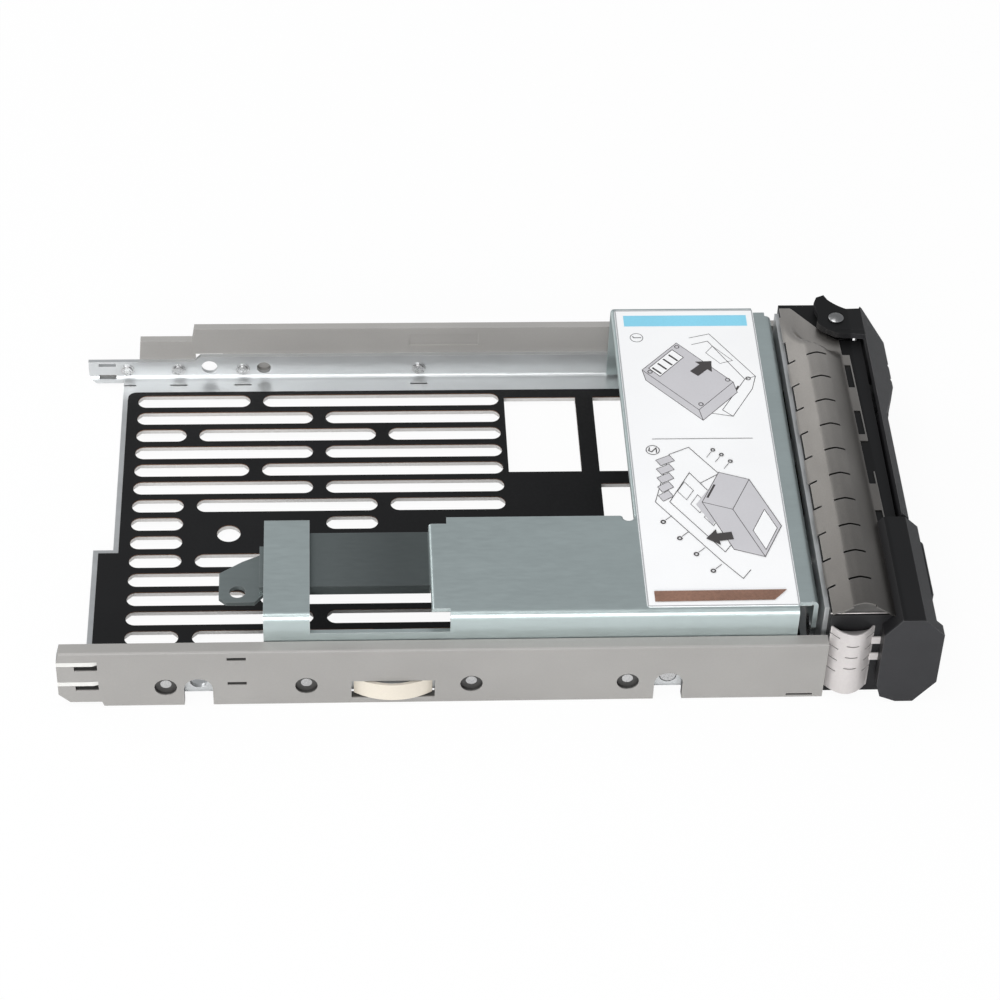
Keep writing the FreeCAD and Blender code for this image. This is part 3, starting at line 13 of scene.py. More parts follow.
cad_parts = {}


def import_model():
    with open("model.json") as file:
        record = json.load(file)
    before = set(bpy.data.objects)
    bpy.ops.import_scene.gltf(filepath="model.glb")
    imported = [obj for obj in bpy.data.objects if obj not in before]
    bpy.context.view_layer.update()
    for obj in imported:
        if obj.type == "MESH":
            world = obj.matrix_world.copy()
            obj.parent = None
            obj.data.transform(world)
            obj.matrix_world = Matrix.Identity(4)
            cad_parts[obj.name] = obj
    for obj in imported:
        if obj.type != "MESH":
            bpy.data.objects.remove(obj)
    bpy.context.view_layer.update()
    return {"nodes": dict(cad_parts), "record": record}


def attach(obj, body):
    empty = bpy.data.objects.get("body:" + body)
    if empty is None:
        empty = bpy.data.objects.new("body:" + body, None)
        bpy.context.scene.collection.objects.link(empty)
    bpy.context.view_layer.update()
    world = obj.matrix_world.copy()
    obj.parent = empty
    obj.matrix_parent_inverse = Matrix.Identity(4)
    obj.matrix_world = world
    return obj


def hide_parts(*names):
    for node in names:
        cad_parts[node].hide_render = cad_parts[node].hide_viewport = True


LOG = logging.getLogger("caddy")
MM = 0.001
# Sizes are in millimetres unless a comment says otherwise.
SHARP_COSINE = 0.75          # of the turn at an edge, above which the shading stays smooth
FLOOR_HALF = 46.5            # half the width of the flat, punched part of the floor
FLOOR_HIGH = 3.0             # above the punched floor and its film
GRID_PER_METRE = 1000.0      # noise runs over places counted in millimetres
WORN_WIDTH = 0.00035         # radius that rounds an edge to find it, in metres
WORN_BREAK = 0.4             # how much of a worn edge shows where noise breaks it


# ---- Finishes ---------------------------------------------------------------------------------
class Wear(Enum):
    """How a finish shows its edges."""

    NONE = 0.0
    LIGHT = 0.25
    STRONG = 0.6


class Shade(Enum):
    """Painted shade and painted light: where a finish's colour darkens or lightens over its piece."""

    NONE = "none"
    POCKETS = "pockets"
    TONGUE = "tongue"
    STRIP = "strip"
    UPWARD = "upward faces"


@dataclass(frozen=True)
class Finish:
    """One surface finish, with the variation that keeps it from looking flat.

    Attributes:
        name: material name.
        color: linear base colour.
        edge: linear colour that worn edges turn towards.
        roughness: middle roughness.
        metallic: 0 for plastics, 1 for bare metal.
        grain: size of the grain in millimetres.
        mottle: how much the colour drifts over the surface.
        bump: height of the grain's relief, as a bump strength.
        wear: how strongly edges show.
        cut: colour of upright cut faces, or None where they match.
        stretch: how much the grain is drawn out along X.
        coat: weight of a clear coat.
        shade: painted shade and painted light over the piece, such as painted shade in its pockets.
        specular: strength of the plain reflection, 0.5 for common plastics.
    """

    name: str
    color: tuple[float, float, float]
    edge: tuple[float, float, float]
    roughness: float = 0.5
    metallic: float = 0.0
    grain: float = 0.5
    mottle: float = 0.08
    bump: float = 0.05
    wear: Wear = Wear.LIGHT
    cut: tuple[float, float, float] | None = None
    stretch: float = 1.0
    coat: float = 0.0
    shade: Shade = Shade.NONE
    specular: float = 0.5


def ink(name: str, color: tuple[float, float, float], roughness: float = 0.45, grain: float = 0.4,
        mottle: float = 0.06) -> Finish:
    """A printed ink: flat, without worn edges.

    Args:
        name: material name.
        color: linear base colour.
        roughness: middle roughness.
        grain: size of the grain.
        mottle: how much the colour drifts.

    Returns:
        The finish.
    """
    return Finish(name, color, (1, 1, 1), roughness, grain=grain, mottle=mottle, bump=0.02, wear=Wear.NONE)


FINISHES = {
    "rail_plastic": Finish("rail plastic", (0.262, 0.254, 0.243), (0.46, 0.45, 0.43), 0.46, grain=0.35,
                           mottle=0.05, bump=0.05, shade=Shade.POCKETS),
    # its light cut colour is partly the bare steel of the cut faces and partly a painted highlight along the
    # pan's edges
    "tray_steel": Finish("zinc plated steel", (0.60, 0.615, 0.62), (0.86, 0.86, 0.85), 0.36, 0.75,
                         grain=2.4, mottle=0.05, bump=0.015, wear=Wear.STRONG, cut=(0.80, 0.78, 0.76),
                         stretch=3.0),
    "film": Finish("insulating film", (0.0045, 0.0045, 0.005), (0.03, 0.03, 0.03), 0.55, grain=0.8,
                   mottle=0.25, bump=0.03, cut=(0.16, 0.085, 0.05), specular=0.28),
    "bracket_steel": Finish("bracket steel", (0.50, 0.572, 0.568), (0.86, 0.89, 0.89), 0.36, 0.85,
                            grain=0.7, mottle=0.05, bump=0.03, wear=Wear.STRONG, stretch=5.0,
                            shade=Shade.TONGUE),
    "label": Finish("label paper", (0.94, 0.94, 0.94), (0.9, 0.9, 0.9), 0.42, grain=0.3, mottle=0.02,
                    bump=0.02, wear=Wear.NONE, coat=0.3),
    "charcoal_plastic": Finish("charcoal plastic", (0.0225, 0.0225, 0.0245), (0.11, 0.11, 0.11), 0.48,
                               grain=0.22, mottle=0.14, bump=0.12, wear=Wear.STRONG, shade=Shade.UPWARD,
                               specular=0.3),
    "gasket_steel": Finish("strip steel", (0.40, 0.378, 0.352), (0.75, 0.74, 0.72), 0.34, 1.0, grain=0.6,
                           mottle=0.10, bump=0.03, wear=Wear.STRONG, stretch=0.3, shade=Shade.STRIP),
    "clear_pipe": Finish("clear plastic", (0.58, 0.575, 0.55), (0.85, 0.85, 0.85), 0.24, grain=0.8,
                         mottle=0.05, bump=0.02, coat=0.5),
    "damper_plastic": Finish("ivory plastic", (0.60, 0.55, 0.47), (0.80, 0.77, 0.70), 0.38, grain=0.4,
                             mottle=0.05, bump=0.03),
    "side_strip": Finish("side strip", (0.56, 0.53, 0.52), (0.86, 0.84, 0.83), 0.40, 0.35, grain=0.5,
                         mottle=0.08, bump=0.03),
    "print_blue": ink("blue print", (0.26, 0.66, 0.84), roughness=0.42),
    "print_grey": ink("grey print", (0.58, 0.57, 0.59), mottle=0.04),
    "print_line": ink("line print", (0.055, 0.05, 0.05), roughness=0.5),
    # painted shade: near-black finish for the sheet that fills the strip's shaded near arch
    "arch_shade_dark": Finish("shaded strip end", (0.085, 0.082, 0.078), (0.2, 0.2, 0.2), 0.42, 0.5, grain=1.5,
                         mottle=0.3, bump=0.02),
    "pin_steel": Finish("dull pin steel", (0.30, 0.30, 0.30), (0.8, 0.8, 0.8), 0.34, 1.0, grain=0.3,
                        mottle=0.12, bump=0.03),
    "print_edge": ink("label edge", (0.42, 0.43, 0.44)),
    "print_brown": ink("brown print", (0.24, 0.13, 0.09), grain=0.6, mottle=0.3),
    "fastener_steel": Finish("fastener steel", (0.58, 0.58, 0.58), (0.9, 0.9, 0.9), 0.28, 1.0, grain=0.4,
                             mottle=0.15, bump=0.04),
}


class NodeTree:
    """A small helper that adds and wires nodes of one tree.

    Args:
        tree: the node tree to write into.
    """

    def __init__(self, tree: bpy.types.NodeTree) -> None:
        self.tree = tree

    def add(self, kind: str, settings: dict | None = None, **inputs: object) -> bpy.types.Node:
        """Add a node, set its properties, and set or wire its inputs.

        Args:
            kind: the node's type name.
            settings: properties of the node itself.
            **inputs: values or output sockets by input name, spaces written as underscores.

        Returns:
            The new node.
        """
        node = self.tree.nodes.new(kind)
        for key, value in (settings or {}).items():
            setattr(node, key, value)
        for key, value in inputs.items():
            socket = node.inputs[int(key[1:])] if key[0] == "i" and key[1:].isdigit() else node.inputs[
                key.replace("_", " ")]
            if isinstance(value, bpy.types.NodeSocket):
                self.tree.links.new(value, socket)
            else:
                socket.default_value = value
        return node

    def link(self, source: bpy.types.NodeSocket, target: bpy.types.NodeSocket) -> None:
        """Wire one socket to another."""
        self.tree.links.new(source, target)

    def math(self, operation: str, *values: object) -> bpy.types.NodeSocket:
        """Result of a math node on one or two values or sockets."""
        inputs = {f"i{number}": value for number, value in enumerate(values)}
        return self.add("ShaderNodeMath", {"operation": operation}, **inputs).outputs[0]

    def span(self, value: object, start: float, end: float, low: object = 0.0,
             high: object = 1.0) -> bpy.types.NodeSocket:
        """A value stretched from one range to another, clamped at both ends."""
        return self.add("ShaderNodeMapRange", Value=value, i1=start, i2=end, i3=low, i4=high).outputs[0]

    def blend(self, factor: object, first: object, second: object) -> bpy.types.NodeSocket:
        """A colour mixed from two."""
        return self.add("ShaderNodeMix", {"data_type": "RGBA"}, Factor=factor, i6=first, i7=second).outputs[2]

    def scaled(self, color: object, factor: object) -> bpy.types.NodeSocket:
        """A colour times a factor."""
        return self.add("ShaderNodeVectorMath", {"operation": "SCALE"}, i0=color, Scale=factor).outputs[0]

    def place(self) -> bpy.types.NodeSocket:
        """The place on the object, in metres."""
        return self.add("ShaderNodeTexCoord").outputs["Object"]

    def normal(self) -> bpy.types.NodeSocket:
        """The surface's own normal."""
        return self.add("ShaderNodeNewGeometry").outputs["Normal"]

    def axes(self, vector: object) -> bpy.types.NodeOutputs:
        """The parts of a vector by axis name."""
        return self.add("ShaderNodeSeparateXYZ", i0=vector).outputs


def new_group(name: str, inputs: dict[str, tuple[str, object]], outputs: dict[str, str]) -> tuple:
    """Create a shader node group with named sockets.

    Args:
        name: the group's name.
        inputs: socket name to (socket type, default value).
        outputs: socket name to socket type.

    Returns:
        The group's tree, a NodeTree helper, its input node and its output node.
    """
    tree = bpy.data.node_groups.new(name, "ShaderNodeTree")
    for key, (kind, value) in inputs.items():
        tree.interface.new_socket(key, in_out="INPUT", socket_type=kind).default_value = value
    for key, kind in outputs.items():
        tree.interface.new_socket(key, in_out="OUTPUT", socket_type=kind)
    helper = NodeTree(tree)
    return tree, helper, helper.add("NodeGroupInput"), helper.add("NodeGroupOutput")


def grain_group() -> bpy.types.NodeTree:
    """Fine grain over object space: a drift mask, a fine mask and a relief height."""
    tree, nodes, source, target = new_group(
        "Surface grain",
        {"Size": ("NodeSocketFloat", 0.5), "Stretch": ("NodeSocketFloat", 1.0)},
        {"Drift": "NodeSocketFloat", "Fine": "NodeSocketFloat", "Height": "NodeSocketFloat"})
    squeeze = nodes.math("DIVIDE", GRID_PER_METRE, source.outputs["Stretch"])
    scale = nodes.add("ShaderNodeCombineXYZ", X=squeeze, Y=GRID_PER_METRE, Z=GRID_PER_METRE).outputs[0]
    grid = nodes.add("ShaderNodeVectorMath", {"operation": "MULTIPLY"}, i0=nodes.place(), i1=scale).outputs[0]
    density = nodes.math("DIVIDE", 1.0, source.outputs["Size"])
    fine = nodes.add("ShaderNodeTexNoise", Vector=grid, Scale=density, Detail=3.0, Roughness=0.6)
    drift = nodes.add("ShaderNodeTexNoise", Vector=grid, Scale=0.045, Detail=2.0, Roughness=0.5)
    nodes.link(drift.outputs["Fac"], target.inputs["Drift"])
    nodes.link(fine.outputs["Fac"], target.inputs["Fine"])
    nodes.link(fine.outputs["Fac"], target.inputs["Height"])
    return tree


def edge_group() -> bpy.types.NodeTree:
    """Edge mask: 1 where a rounded copy of the surface leaves the true normal, broken by noise."""
    tree, nodes, source, target = new_group(
        "Edge wear",
        {"Width": ("NodeSocketFloat", 0.0003), "Break": ("NodeSocketFloat", 0.5)},
        {"Mask": "NodeSocketFloat"})
    rounded = nodes.add("ShaderNodeBevel", {"samples": 4}, Radius=source.outputs["Width"]).outputs[0]
    match = nodes.add("ShaderNodeVectorMath", {"operation": "DOT_PRODUCT"}, i0=rounded, i1=nodes.normal())
    edge = nodes.span(match.outputs["Value"], 0.99, 0.75)
    noise = nodes.add("ShaderNodeTexNoise", Vector=nodes.place(), Scale=260.0, Detail=3.0)
    chip = nodes.span(noise.outputs["Fac"], 0.35, 0.65, source.outputs["Break"])
    mask = nodes.add("ShaderNodeMath", {"operation": "MULTIPLY", "use_clamp": True}, i0=edge, i1=chip)
    nodes.link(mask.outputs[0], target.inputs["Mask"])
    return tree


def cut_group() -> bpy.types.NodeTree:
    """Mask of upright faces, such as the sides of punched holes in a flat sheet."""
    tree, nodes, _source, target = new_group("Cut faces", {}, {"Mask": "NodeSocketFloat"})
    upright = nodes.span(nodes.math("ABSOLUTE", nodes.axes(nodes.normal())["Z"]), 0.5, 0.3)
    spot = nodes.axes(nodes.place())
    inside = nodes.math("LESS_THAN", nodes.math("ABSOLUTE", spot["Y"]), FLOOR_HALF * MM)
    low = nodes.math("LESS_THAN", spot["Z"], FLOOR_HIGH * MM)
    floor = nodes.math("MULTIPLY", inside, low)
    nodes.link(nodes.math("MULTIPLY", upright, floor), target.inputs["Mask"])
    return tree


def ramp(nodes: NodeTree, value: bpy.types.NodeSocket, start: float, end: float, low: float = 0.0,
         high: float = 1.0) -> bpy.types.NodeSocket:
    """A clamped straight ramp of a value between two places given in millimetres."""
    return nodes.span(value, start * MM, end * MM, low, high)


def pocket_shade(nodes: NodeTree, x: bpy.types.NodeSocket, y: bpy.types.NodeSocket,
                 z: bpy.types.NodeSocket) -> bpy.types.NodeSocket:
    """Rails: painted shade inside the near rail's outer face, painted light on upward ledges and on the far
    rail.
    """
    inside = nodes.math("MULTIPLY", ramp(nodes, y, -53.92, -53.6), ramp(nodes, y, -49.9, -50.1))
    mask = nodes.math("MULTIPLY", inside, ramp(nodes, z, 15.6, 15.0))
    # painted shade in the near rail's pockets, slots and notches
    pocket_shadow = nodes.span(mask, 0.0, 1.0, 1.0, 0.16)
    # painted highlight on upward faces
    ledge_highlight = nodes.span(nodes.axes(nodes.normal())["Z"], 0.75, 0.95, 1.0, 1.28)
    # painted light on the far rail
    far = ramp(nodes, y, 50.0, 51.0, 1.0, 1.12)
    return nodes.math("MULTIPLY", nodes.math("MULTIPLY", pocket_shadow, ledge_highlight), far)


def tongue_shade(nodes: NodeTree, x: bpy.types.NodeSocket, y: bpy.types.NodeSocket,
                 z: bpy.types.NodeSocket) -> bpy.types.NodeSocket:
    """Bracket: painted shade on the dropped tongue, darker than the plate, more so towards the plate."""
    below = nodes.math("MULTIPLY", ramp(nodes, z, 21.9, 21.4), ramp(nodes, z, 17.0, 17.6))
    behind = nodes.math("MULTIPLY", below, ramp(nodes, x, -14.2, -15.2))
    mask = nodes.math("MULTIPLY", behind, ramp(nodes, y, -48.9, -48.5))
    # painted shade: how much darker the tongue is along its length
    tongue_painted_shade = ramp(nodes, x, -60.0, -22.0, 0.52, 0.25)
    return nodes.add("ShaderNodeMix", Factor=mask, i2=1.0, i3=tongue_painted_shade).outputs[0]


def strip_shade(nodes: NodeTree, x: bpy.types.NodeSocket, y: bpy.types.NodeSocket,
                z: bpy.types.NodeSocket) -> bpy.types.NodeSocket:
    """Arched strip: painted shade and painted reflection, darker towards its near end and on its front flank.
    """
    # painted reflection: lighter at the far end, darker at the near end and on the front flank
    along = ramp(nodes, y, 40.0, -52.0, 1.55, 0.58)
    return nodes.math("MULTIPLY", along, ramp(nodes, x, 76.5, 84.5, 0.82, 0.68))


def upward_shade(nodes: NodeTree, x: bpy.types.NodeSocket, y: bpy.types.NodeSocket,
                 z: bpy.types.NodeSocket) -> bpy.types.NodeSocket:
    """Moulded black: painted shade, deep on flat tops and in the hollow behind the block's face, so the sides
    stay lighter.
    """
    # painted shade on upward faces
    top = nodes.span(nodes.axes(nodes.normal())["Z"], 0.75, 0.95, 1.0, 0.28)
    # painted shadow in the hollow behind the block
    hollow_shadow = nodes.math("MULTIPLY", ramp(nodes, x, 86.4, 86.0), ramp(nodes, y, -55.65, -55.5))
    return nodes.math("MULTIPLY", top, nodes.span(hollow_shadow, 0.0, 1.0, 1.0, 0.42))


SHADERS = {Shade.POCKETS: pocket_shade, Shade.TONGUE: tongue_shade, Shade.STRIP: strip_shade,
           Shade.UPWARD: upward_shade}


def shade_group(shade: Shade) -> bpy.types.NodeTree:
    """A factor of painted shade and painted light over a piece by place: 1 where it keeps its colour.

    Args:
        shade: which of these it is.

    Returns:
        The group's tree.
    """
    tree, nodes, _source, target = new_group("Shade of " + shade.value, {}, {"Factor": "NodeSocketFloat"})
    spot = nodes.axes(nodes.place())
    nodes.link(SHADERS[shade](nodes, spot["X"], spot["Y"], spot["Z"]), target.inputs["Factor"])
    return tree


class Paintbox:
    """Builds each finish's material once and hands it out.

    Args:
        finishes: the finishes by slot name.
    """

    def __init__(self, finishes: dict[str, Finish]) -> None:
        self.finishes = finishes
        self.groups = {"grain": grain_group(), "edge": edge_group(), "cut": cut_group()}
        self.groups |= {shade.value: shade_group(shade) for shade in SHADERS}
        self.made: dict[str, bpy.types.Material] = {}

    def get(self, slot: str) -> bpy.types.Material:
        """Return the material of a slot, building it on first use."""
        if slot not in self.made:
            self.made[slot] = self.build(self.finishes[slot])
        return self.made[slot]

    def group(self, nodes: NodeTree, name: str, **inputs: object) -> bpy.types.NodeOutputs:
        """Use one of the shared groups in a material and return its outputs."""
        return nodes.add("ShaderNodeGroup", {"node_tree": self.groups[name]}, **inputs).outputs

    def build(self, finish: Finish) -> bpy.types.Material:
        """Build one material from a finish.

        Args:
            finish: what the surface looks like.

        Returns:
            The new material.
        """
        material = bpy.data.materials.new(finish.name)
        material.use_nodes = True
        nodes = NodeTree(material.node_tree)
        shader = material.node_tree.nodes["Principled BSDF"]
        grain = self.group(nodes, "grain", Size=finish.grain, Stretch=finish.stretch)
        dark = tuple(c * (1 - finish.mottle) for c in finish.color)
        light = tuple(min(1.0, c * (1 + finish.mottle)) for c in finish.color)
        color = nodes.blend(nodes.span(grain["Drift"], 0.3, 0.7), (*dark, 1), (*light, 1))
        speck = nodes.span(grain["Fine"], 0.3, 0.7, 1 - finish.mottle / 2, 1 + finish.mottle / 2)
        color = nodes.scaled(color, speck)
        if finish.cut is not None:
            color = nodes.blend(self.group(nodes, "cut")["Mask"], color, (*finish.cut, 1))
        if finish.wear is not Wear.NONE:
            edge = self.group(nodes, "edge", Width=WORN_WIDTH, Break=WORN_BREAK)
            amount = nodes.math("MULTIPLY", edge["Mask"], finish.wear.value)
            color = nodes.blend(amount, color, (*finish.edge, 1))
        # painted shade and painted light scale the colour by place
        if finish.shade is not Shade.NONE:
            color = nodes.scaled(color, self.group(nodes, finish.shade.value)["Factor"])
        nodes.link(color, shader.inputs["Base Color"])
        smooth, dull = finish.roughness * 0.88, min(1.0, finish.roughness * 1.14)
        rough = nodes.span(grain["Fine"], 0.3, 0.7, smooth, dull)
        nodes.link(rough, shader.inputs["Roughness"])
        shader.inputs["Metallic"].default_value = finish.metallic
        shader.inputs["Coat Weight"].default_value = finish.coat
        shader.inputs["Specular IOR Level"].default_value = finish.specular
        relief = nodes.add("ShaderNodeBump", Strength=finish.bump, Distance=0.0001, Height=grain["Height"])
        nodes.link(relief.outputs[0], shader.inputs["Normal"])
        return material


# ---- Stage --------------------------------------------------------------------------------------
@dataclass(frozen=True)
class CameraView:
    """Where the camera stands and how it is turned, in radians and millimetres."""

    place: tuple[float, float, float] = (-35.51, -505.26, 489.61)
    yaw: float = 0.0748
    pitch: float = 0.7592
    roll: float = 0.0418
    lens: float = 110.15


def add_camera(view: CameraView) -> bpy.types.Object:
    """Create the scene's camera from yaw, pitch and roll.

    Args:
        view: the camera's place and turn.

    Returns:
        The camera object.
    """
    forward = Vector((math.sin(view.yaw) * math.cos(view.pitch), math.cos(view.yaw) * math.cos(view.pitch),
                      -math.sin(view.pitch)))
    level = Vector((math.cos(view.yaw), -math.sin(view.yaw), 0.0))
    upright = level.cross(forward)
    right = math.cos(view.roll) * level + math.sin(view.roll) * upright
    up = -math.sin(view.roll) * level + math.cos(view.roll) * upright
    data = bpy.data.cameras.new("camera")
    data.lens = view.lens
    data.sensor_width = 36.0
    data.clip_start = 0.05
    camera = bpy.data.objects.new("camera", data)
    camera.matrix_world = Matrix((right, up, -forward)).transposed().to_4x4()
    camera.location = Vector(view.place) * MM
    bpy.context.scene.collection.objects.link(camera)
    bpy.context.scene.camera = camera
    return camera


@dataclass(frozen=True)
class Lamp:
    """One soft area lamp, aimed at the middle of the caddy: metres and watts."""

    name: str
    place: tuple[float, float, float]
    size: float
    power: float


ROOM_COLOR = (0.95, 0.97, 1.0, 1)
ROOM_STRENGTH = 0.42
TABLE_REACH = 4.0            # metres
TABLE_DROP = 0.0001          # metres below the caddy's lowest faces
TABLE_WHITE = 0.95           # how much of the table is plain white to the camera
LAMPS = (
    Lamp("front lamp", (-0.25, -1.45, 0.50), 0.9, 21.0),
    Lamp("top lamp", (-0.45, -0.25, 1.35), 0.8, 7.0),
    Lamp("rear lamp", (-0.95, 0.55, 0.55), 0.6, 3.5),
)


def add_lamp(lamp: Lamp) -> None:
    """Create one area lamp."""
    data = bpy.data.lights.new(lamp.name, "AREA")
    data.shape = "DISK"
    data.size = lamp.size
    data.energy = lamp.power
    light = bpy.data.objects.new(lamp.name, data)
    light.location = lamp.place
    light.rotation_euler = (-Vector(lamp.place)).to_track_quat("-Z", "Y").to_euler()
    bpy.context.scene.collection.objects.link(light)


def white_to_camera(nodes: NodeTree) -> bpy.types.NodeSocket:
    """A mask that is 1 for what the camera sees directly or through clear surfaces."""
    path = nodes.add("ShaderNodeLightPath").outputs
    return nodes.math("MAXIMUM", path["Is Camera Ray"], path["Is Transmission Ray"])


def add_world() -> None:
    """A pale room: soft grey light on the object, white to the camera."""
    world = bpy.data.worlds.new("studio")
    bpy.context.scene.world = world
    world.use_nodes = True
    nodes = NodeTree(world.node_tree)
    room = world.node_tree.nodes["Background"]
    room.inputs["Color"].default_value = ROOM_COLOR
    room.inputs["Strength"].default_value = ROOM_STRENGTH
    white = nodes.add("ShaderNodeBackground", Color=(1, 1, 1, 1), Strength=1.0)
    mix = nodes.add("ShaderNodeMixShader", i0=white_to_camera(nodes), i1=room.outputs[0], i2=white.outputs[0])
    nodes.link(mix.outputs[0], world.node_tree.nodes["World Output"].inputs["Surface"])


def add_floor() -> None:
    """A plain white table that keeps a faint shadow under the caddy."""
    mesh = bpy.data.meshes.new("table")
    corners = ((-1, -1), (1, -1), (1, 1), (-1, 1))
    mesh.from_pydata([(TABLE_REACH * a, TABLE_REACH * b, 0) for a, b in corners], [], [(0, 1, 2, 3)])
    floor = bpy.data.objects.new("table", mesh)
    floor.location.z = -TABLE_DROP
    bpy.context.scene.collection.objects.link(floor)
    material = bpy.data.materials.new("white table")
    material.use_nodes = True
    nodes = NodeTree(material.node_tree)
    shader = material.node_tree.nodes["Principled BSDF"]
    shader.inputs["Base Color"].default_value = (0.86, 0.86, 0.86, 1)
    shader.inputs["Roughness"].default_value = 0.9
    white = nodes.add("ShaderNodeEmission", Color=(1, 1, 1, 1), Strength=1.0)
    share = nodes.math("MULTIPLY", white_to_camera(nodes), TABLE_WHITE)
    mix = nodes.add("ShaderNodeMixShader", i0=share, i1=shader.outputs[0], i2=white.outputs[0])
    nodes.link(mix.outputs[0], material.node_tree.nodes["Material Output"].inputs["Surface"])
    mesh.materials.append(material)


# ---- Pieces -------------------------------------------------------------------------------------
def paint_nodes(frame: dict, paint: Paintbox) -> None:
    """Give every CAD node the finish that its record names, but the hinge pin a duller one."""
    for part in frame["record"]["subparts"]:
        node = frame["nodes"][part["node"]]
        own = "pin_steel" if part["node"] == "lever_pin" else part["material_slot"]
        node.data.materials.clear()
        node.data.materials.append(paint.get(own))


def add_piece(name: str, points: np.ndarray, faces: list, material: bpy.types.Material, smooth: bool = True,
              body: str = "caddy") -> bpy.types.Object:
    """Create a mesh piece that rides on one of the bodies.

    Args:
        name: the piece's name.
        points: vertices in millimetres, one row each.
        faces: vertex numbers of each face.
        material: its finish.
        smooth: smooth shading.
        body: what it rides on.

    Returns:
        The new object.
    """
    mesh = bpy.data.meshes.new(name)
    mesh.from_pydata((np.asarray(points, float) * MM).tolist(), [], faces)
    mesh.polygons.foreach_set("use_smooth", [smooth] * len(mesh.polygons))
    mesh.materials.append(material)
    piece = bpy.data.objects.new(name, mesh)
    bpy.context.scene.collection.objects.link(piece)
    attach(piece, body)
    return piece


def sheet_piece(name: str, grid: np.ndarray, keep: np.ndarray, thickness: float, material: bpy.types.Material) -> bpy.types.Object:
    """A thin bent sheet: both skins of a grid of points, with walls round every hole and edge.

    The back skin lies the given thickness behind the front one, along the grid's own normals. Cells
    that are not kept become holes.

    Args:
        name: the piece's name.
        grid: points of the front skin, rows by columns by 3, in millimetres.
        keep: which cells are sheet, rows - 1 by columns - 1.
        thickness: sheet thickness in millimetres.
        material: its finish.

    Returns:
        The new object.
    """
    rows, columns = grid.shape[:2]
    along = np.gradient(grid, axis=0)
    across = np.gradient(grid, axis=1)
    normal = np.cross(across, along)
    normal /= np.maximum(np.linalg.norm(normal, axis=2, keepdims=True), 1e-9)
    front = grid.reshape(-1, 3)
    back = (grid - normal * thickness).reshape(-1, 3)
    offset = rows * columns
    faces = []
    for i in range(rows - 1):
        for j in range(columns - 1):
            if not keep[i, j]:
                continue
            a = i * columns + j
            b, c, d = a + 1, a + 1 + columns, a + columns
            faces.append((a, b, c, d))
            faces.append((d + offset, c + offset, b + offset, a + offset))
            sides = (((-1, 0), (a, b)), ((0, 1), (b, c)), ((1, 0), (c, d)), ((0, -1), (d, a)))
            for (di, dj), (p, q) in sides:
                ni, nj = i + di, j + dj
                open_side = not (0 <= ni < rows - 1 and 0 <= nj < columns - 1) or not keep[ni, nj]
                if open_side:
                    faces.append((q, p, p + offset, q + offset))
    piece = add_piece(name, np.vstack((front, back)), faces, material, True)
    mark_sharp(piece.data)
    return piece


def mark_sharp(mesh: bpy.types.Mesh) -> None:
    """Mark the edges of a mesh that are open or turn by more than SHARP_COSINE allows."""
    mesh.validate()
    sharp = np.zeros(len(mesh.edges), bool)
    turn = {}
    for polygon in mesh.polygons:
        for key in polygon.edge_keys:
            turn.setdefault(key, []).append(polygon.normal.copy())
    for number, edge in enumerate(mesh.edges):
        normals = turn.get(tuple(sorted(edge.vertices)), [])
        sharp[number] = len(normals) != 2 or normals[0].dot(normals[1]) < SHARP_COSINE
    mesh.attributes.new("sharp_edge", "BOOLEAN", "EDGE")
    mesh.attributes["sharp_edge"].data.foreach_set("value", sharp)


def add_prism(name: str, outline: list[tuple[float, float]], low: float, high: float,
              material: bpy.types.Material, slot: str, body: str) -> bpy.types.Object:
    """Add a flat plate with a plan outline between two heights, in millimetres."""
    n = len(outline)
    points = [(x, y, z) for z in (low, high) for x, y in outline]
    faces = [tuple(range(n - 1, -1, -1)), tuple(range(n, 2 * n))]
    faces += [(i, (i + 1) % n, n + (i + 1) % n, n + i) for i in range(n)]
    return add_piece(name, np.array(points), faces, material, False, body)


def skin_between(name: str, first: np.ndarray, second: np.ndarray, material: bpy.types.Material) -> None:
    """Add a single skin of the shielding strips between two rows of as many points."""
    n = len(first)
    faces = [(i, i + 1, i + 1 + n, i + n) for i in range(n - 1)]
    add_piece(name, np.vstack((first, second)), faces, material, True)


def add_bead(name: str, path: np.ndarray, material: bpy.types.Material, radius: float = 0.14) -> None:
    """Add a thin eight-sided wire edge of the shielding strips.

    Args:
        name: the piece's name.
        path: its middle line, roughly along X, one point a row, in millimetres.
        material: its finish.
        radius: half its thickness.
    """
    turn = np.linspace(0, 2 * math.pi, 8, endpoint=False)
    ring = np.stack((np.zeros(8), np.cos(turn), np.sin(turn)), axis=1) * radius
    points = (path[:, None, :] + ring[None, :, :]).reshape(-1, 3)
    last = 8 * (len(path) - 1)
    faces = [(k + i, k + (i + 1) % 8, k + 8 + (i + 1) % 8, k + 8 + i)
             for k in range(0, last, 8) for i in range(8)]
    faces += [tuple(range(7, -1, -1)), tuple(range(last, last + 8))]
    add_piece(name, points, faces, material, True)


def stops(*groups: np.ndarray | list) -> np.ndarray:
    """Sorted grid stops from several lists of places, without near doubles."""
    values = np.unique(np.round(np.concatenate([np.atleast_1d(np.asarray(g, float)) for g in groups]), 3))
    return values[np.concatenate(([True], np.diff(values) > 0.02))]


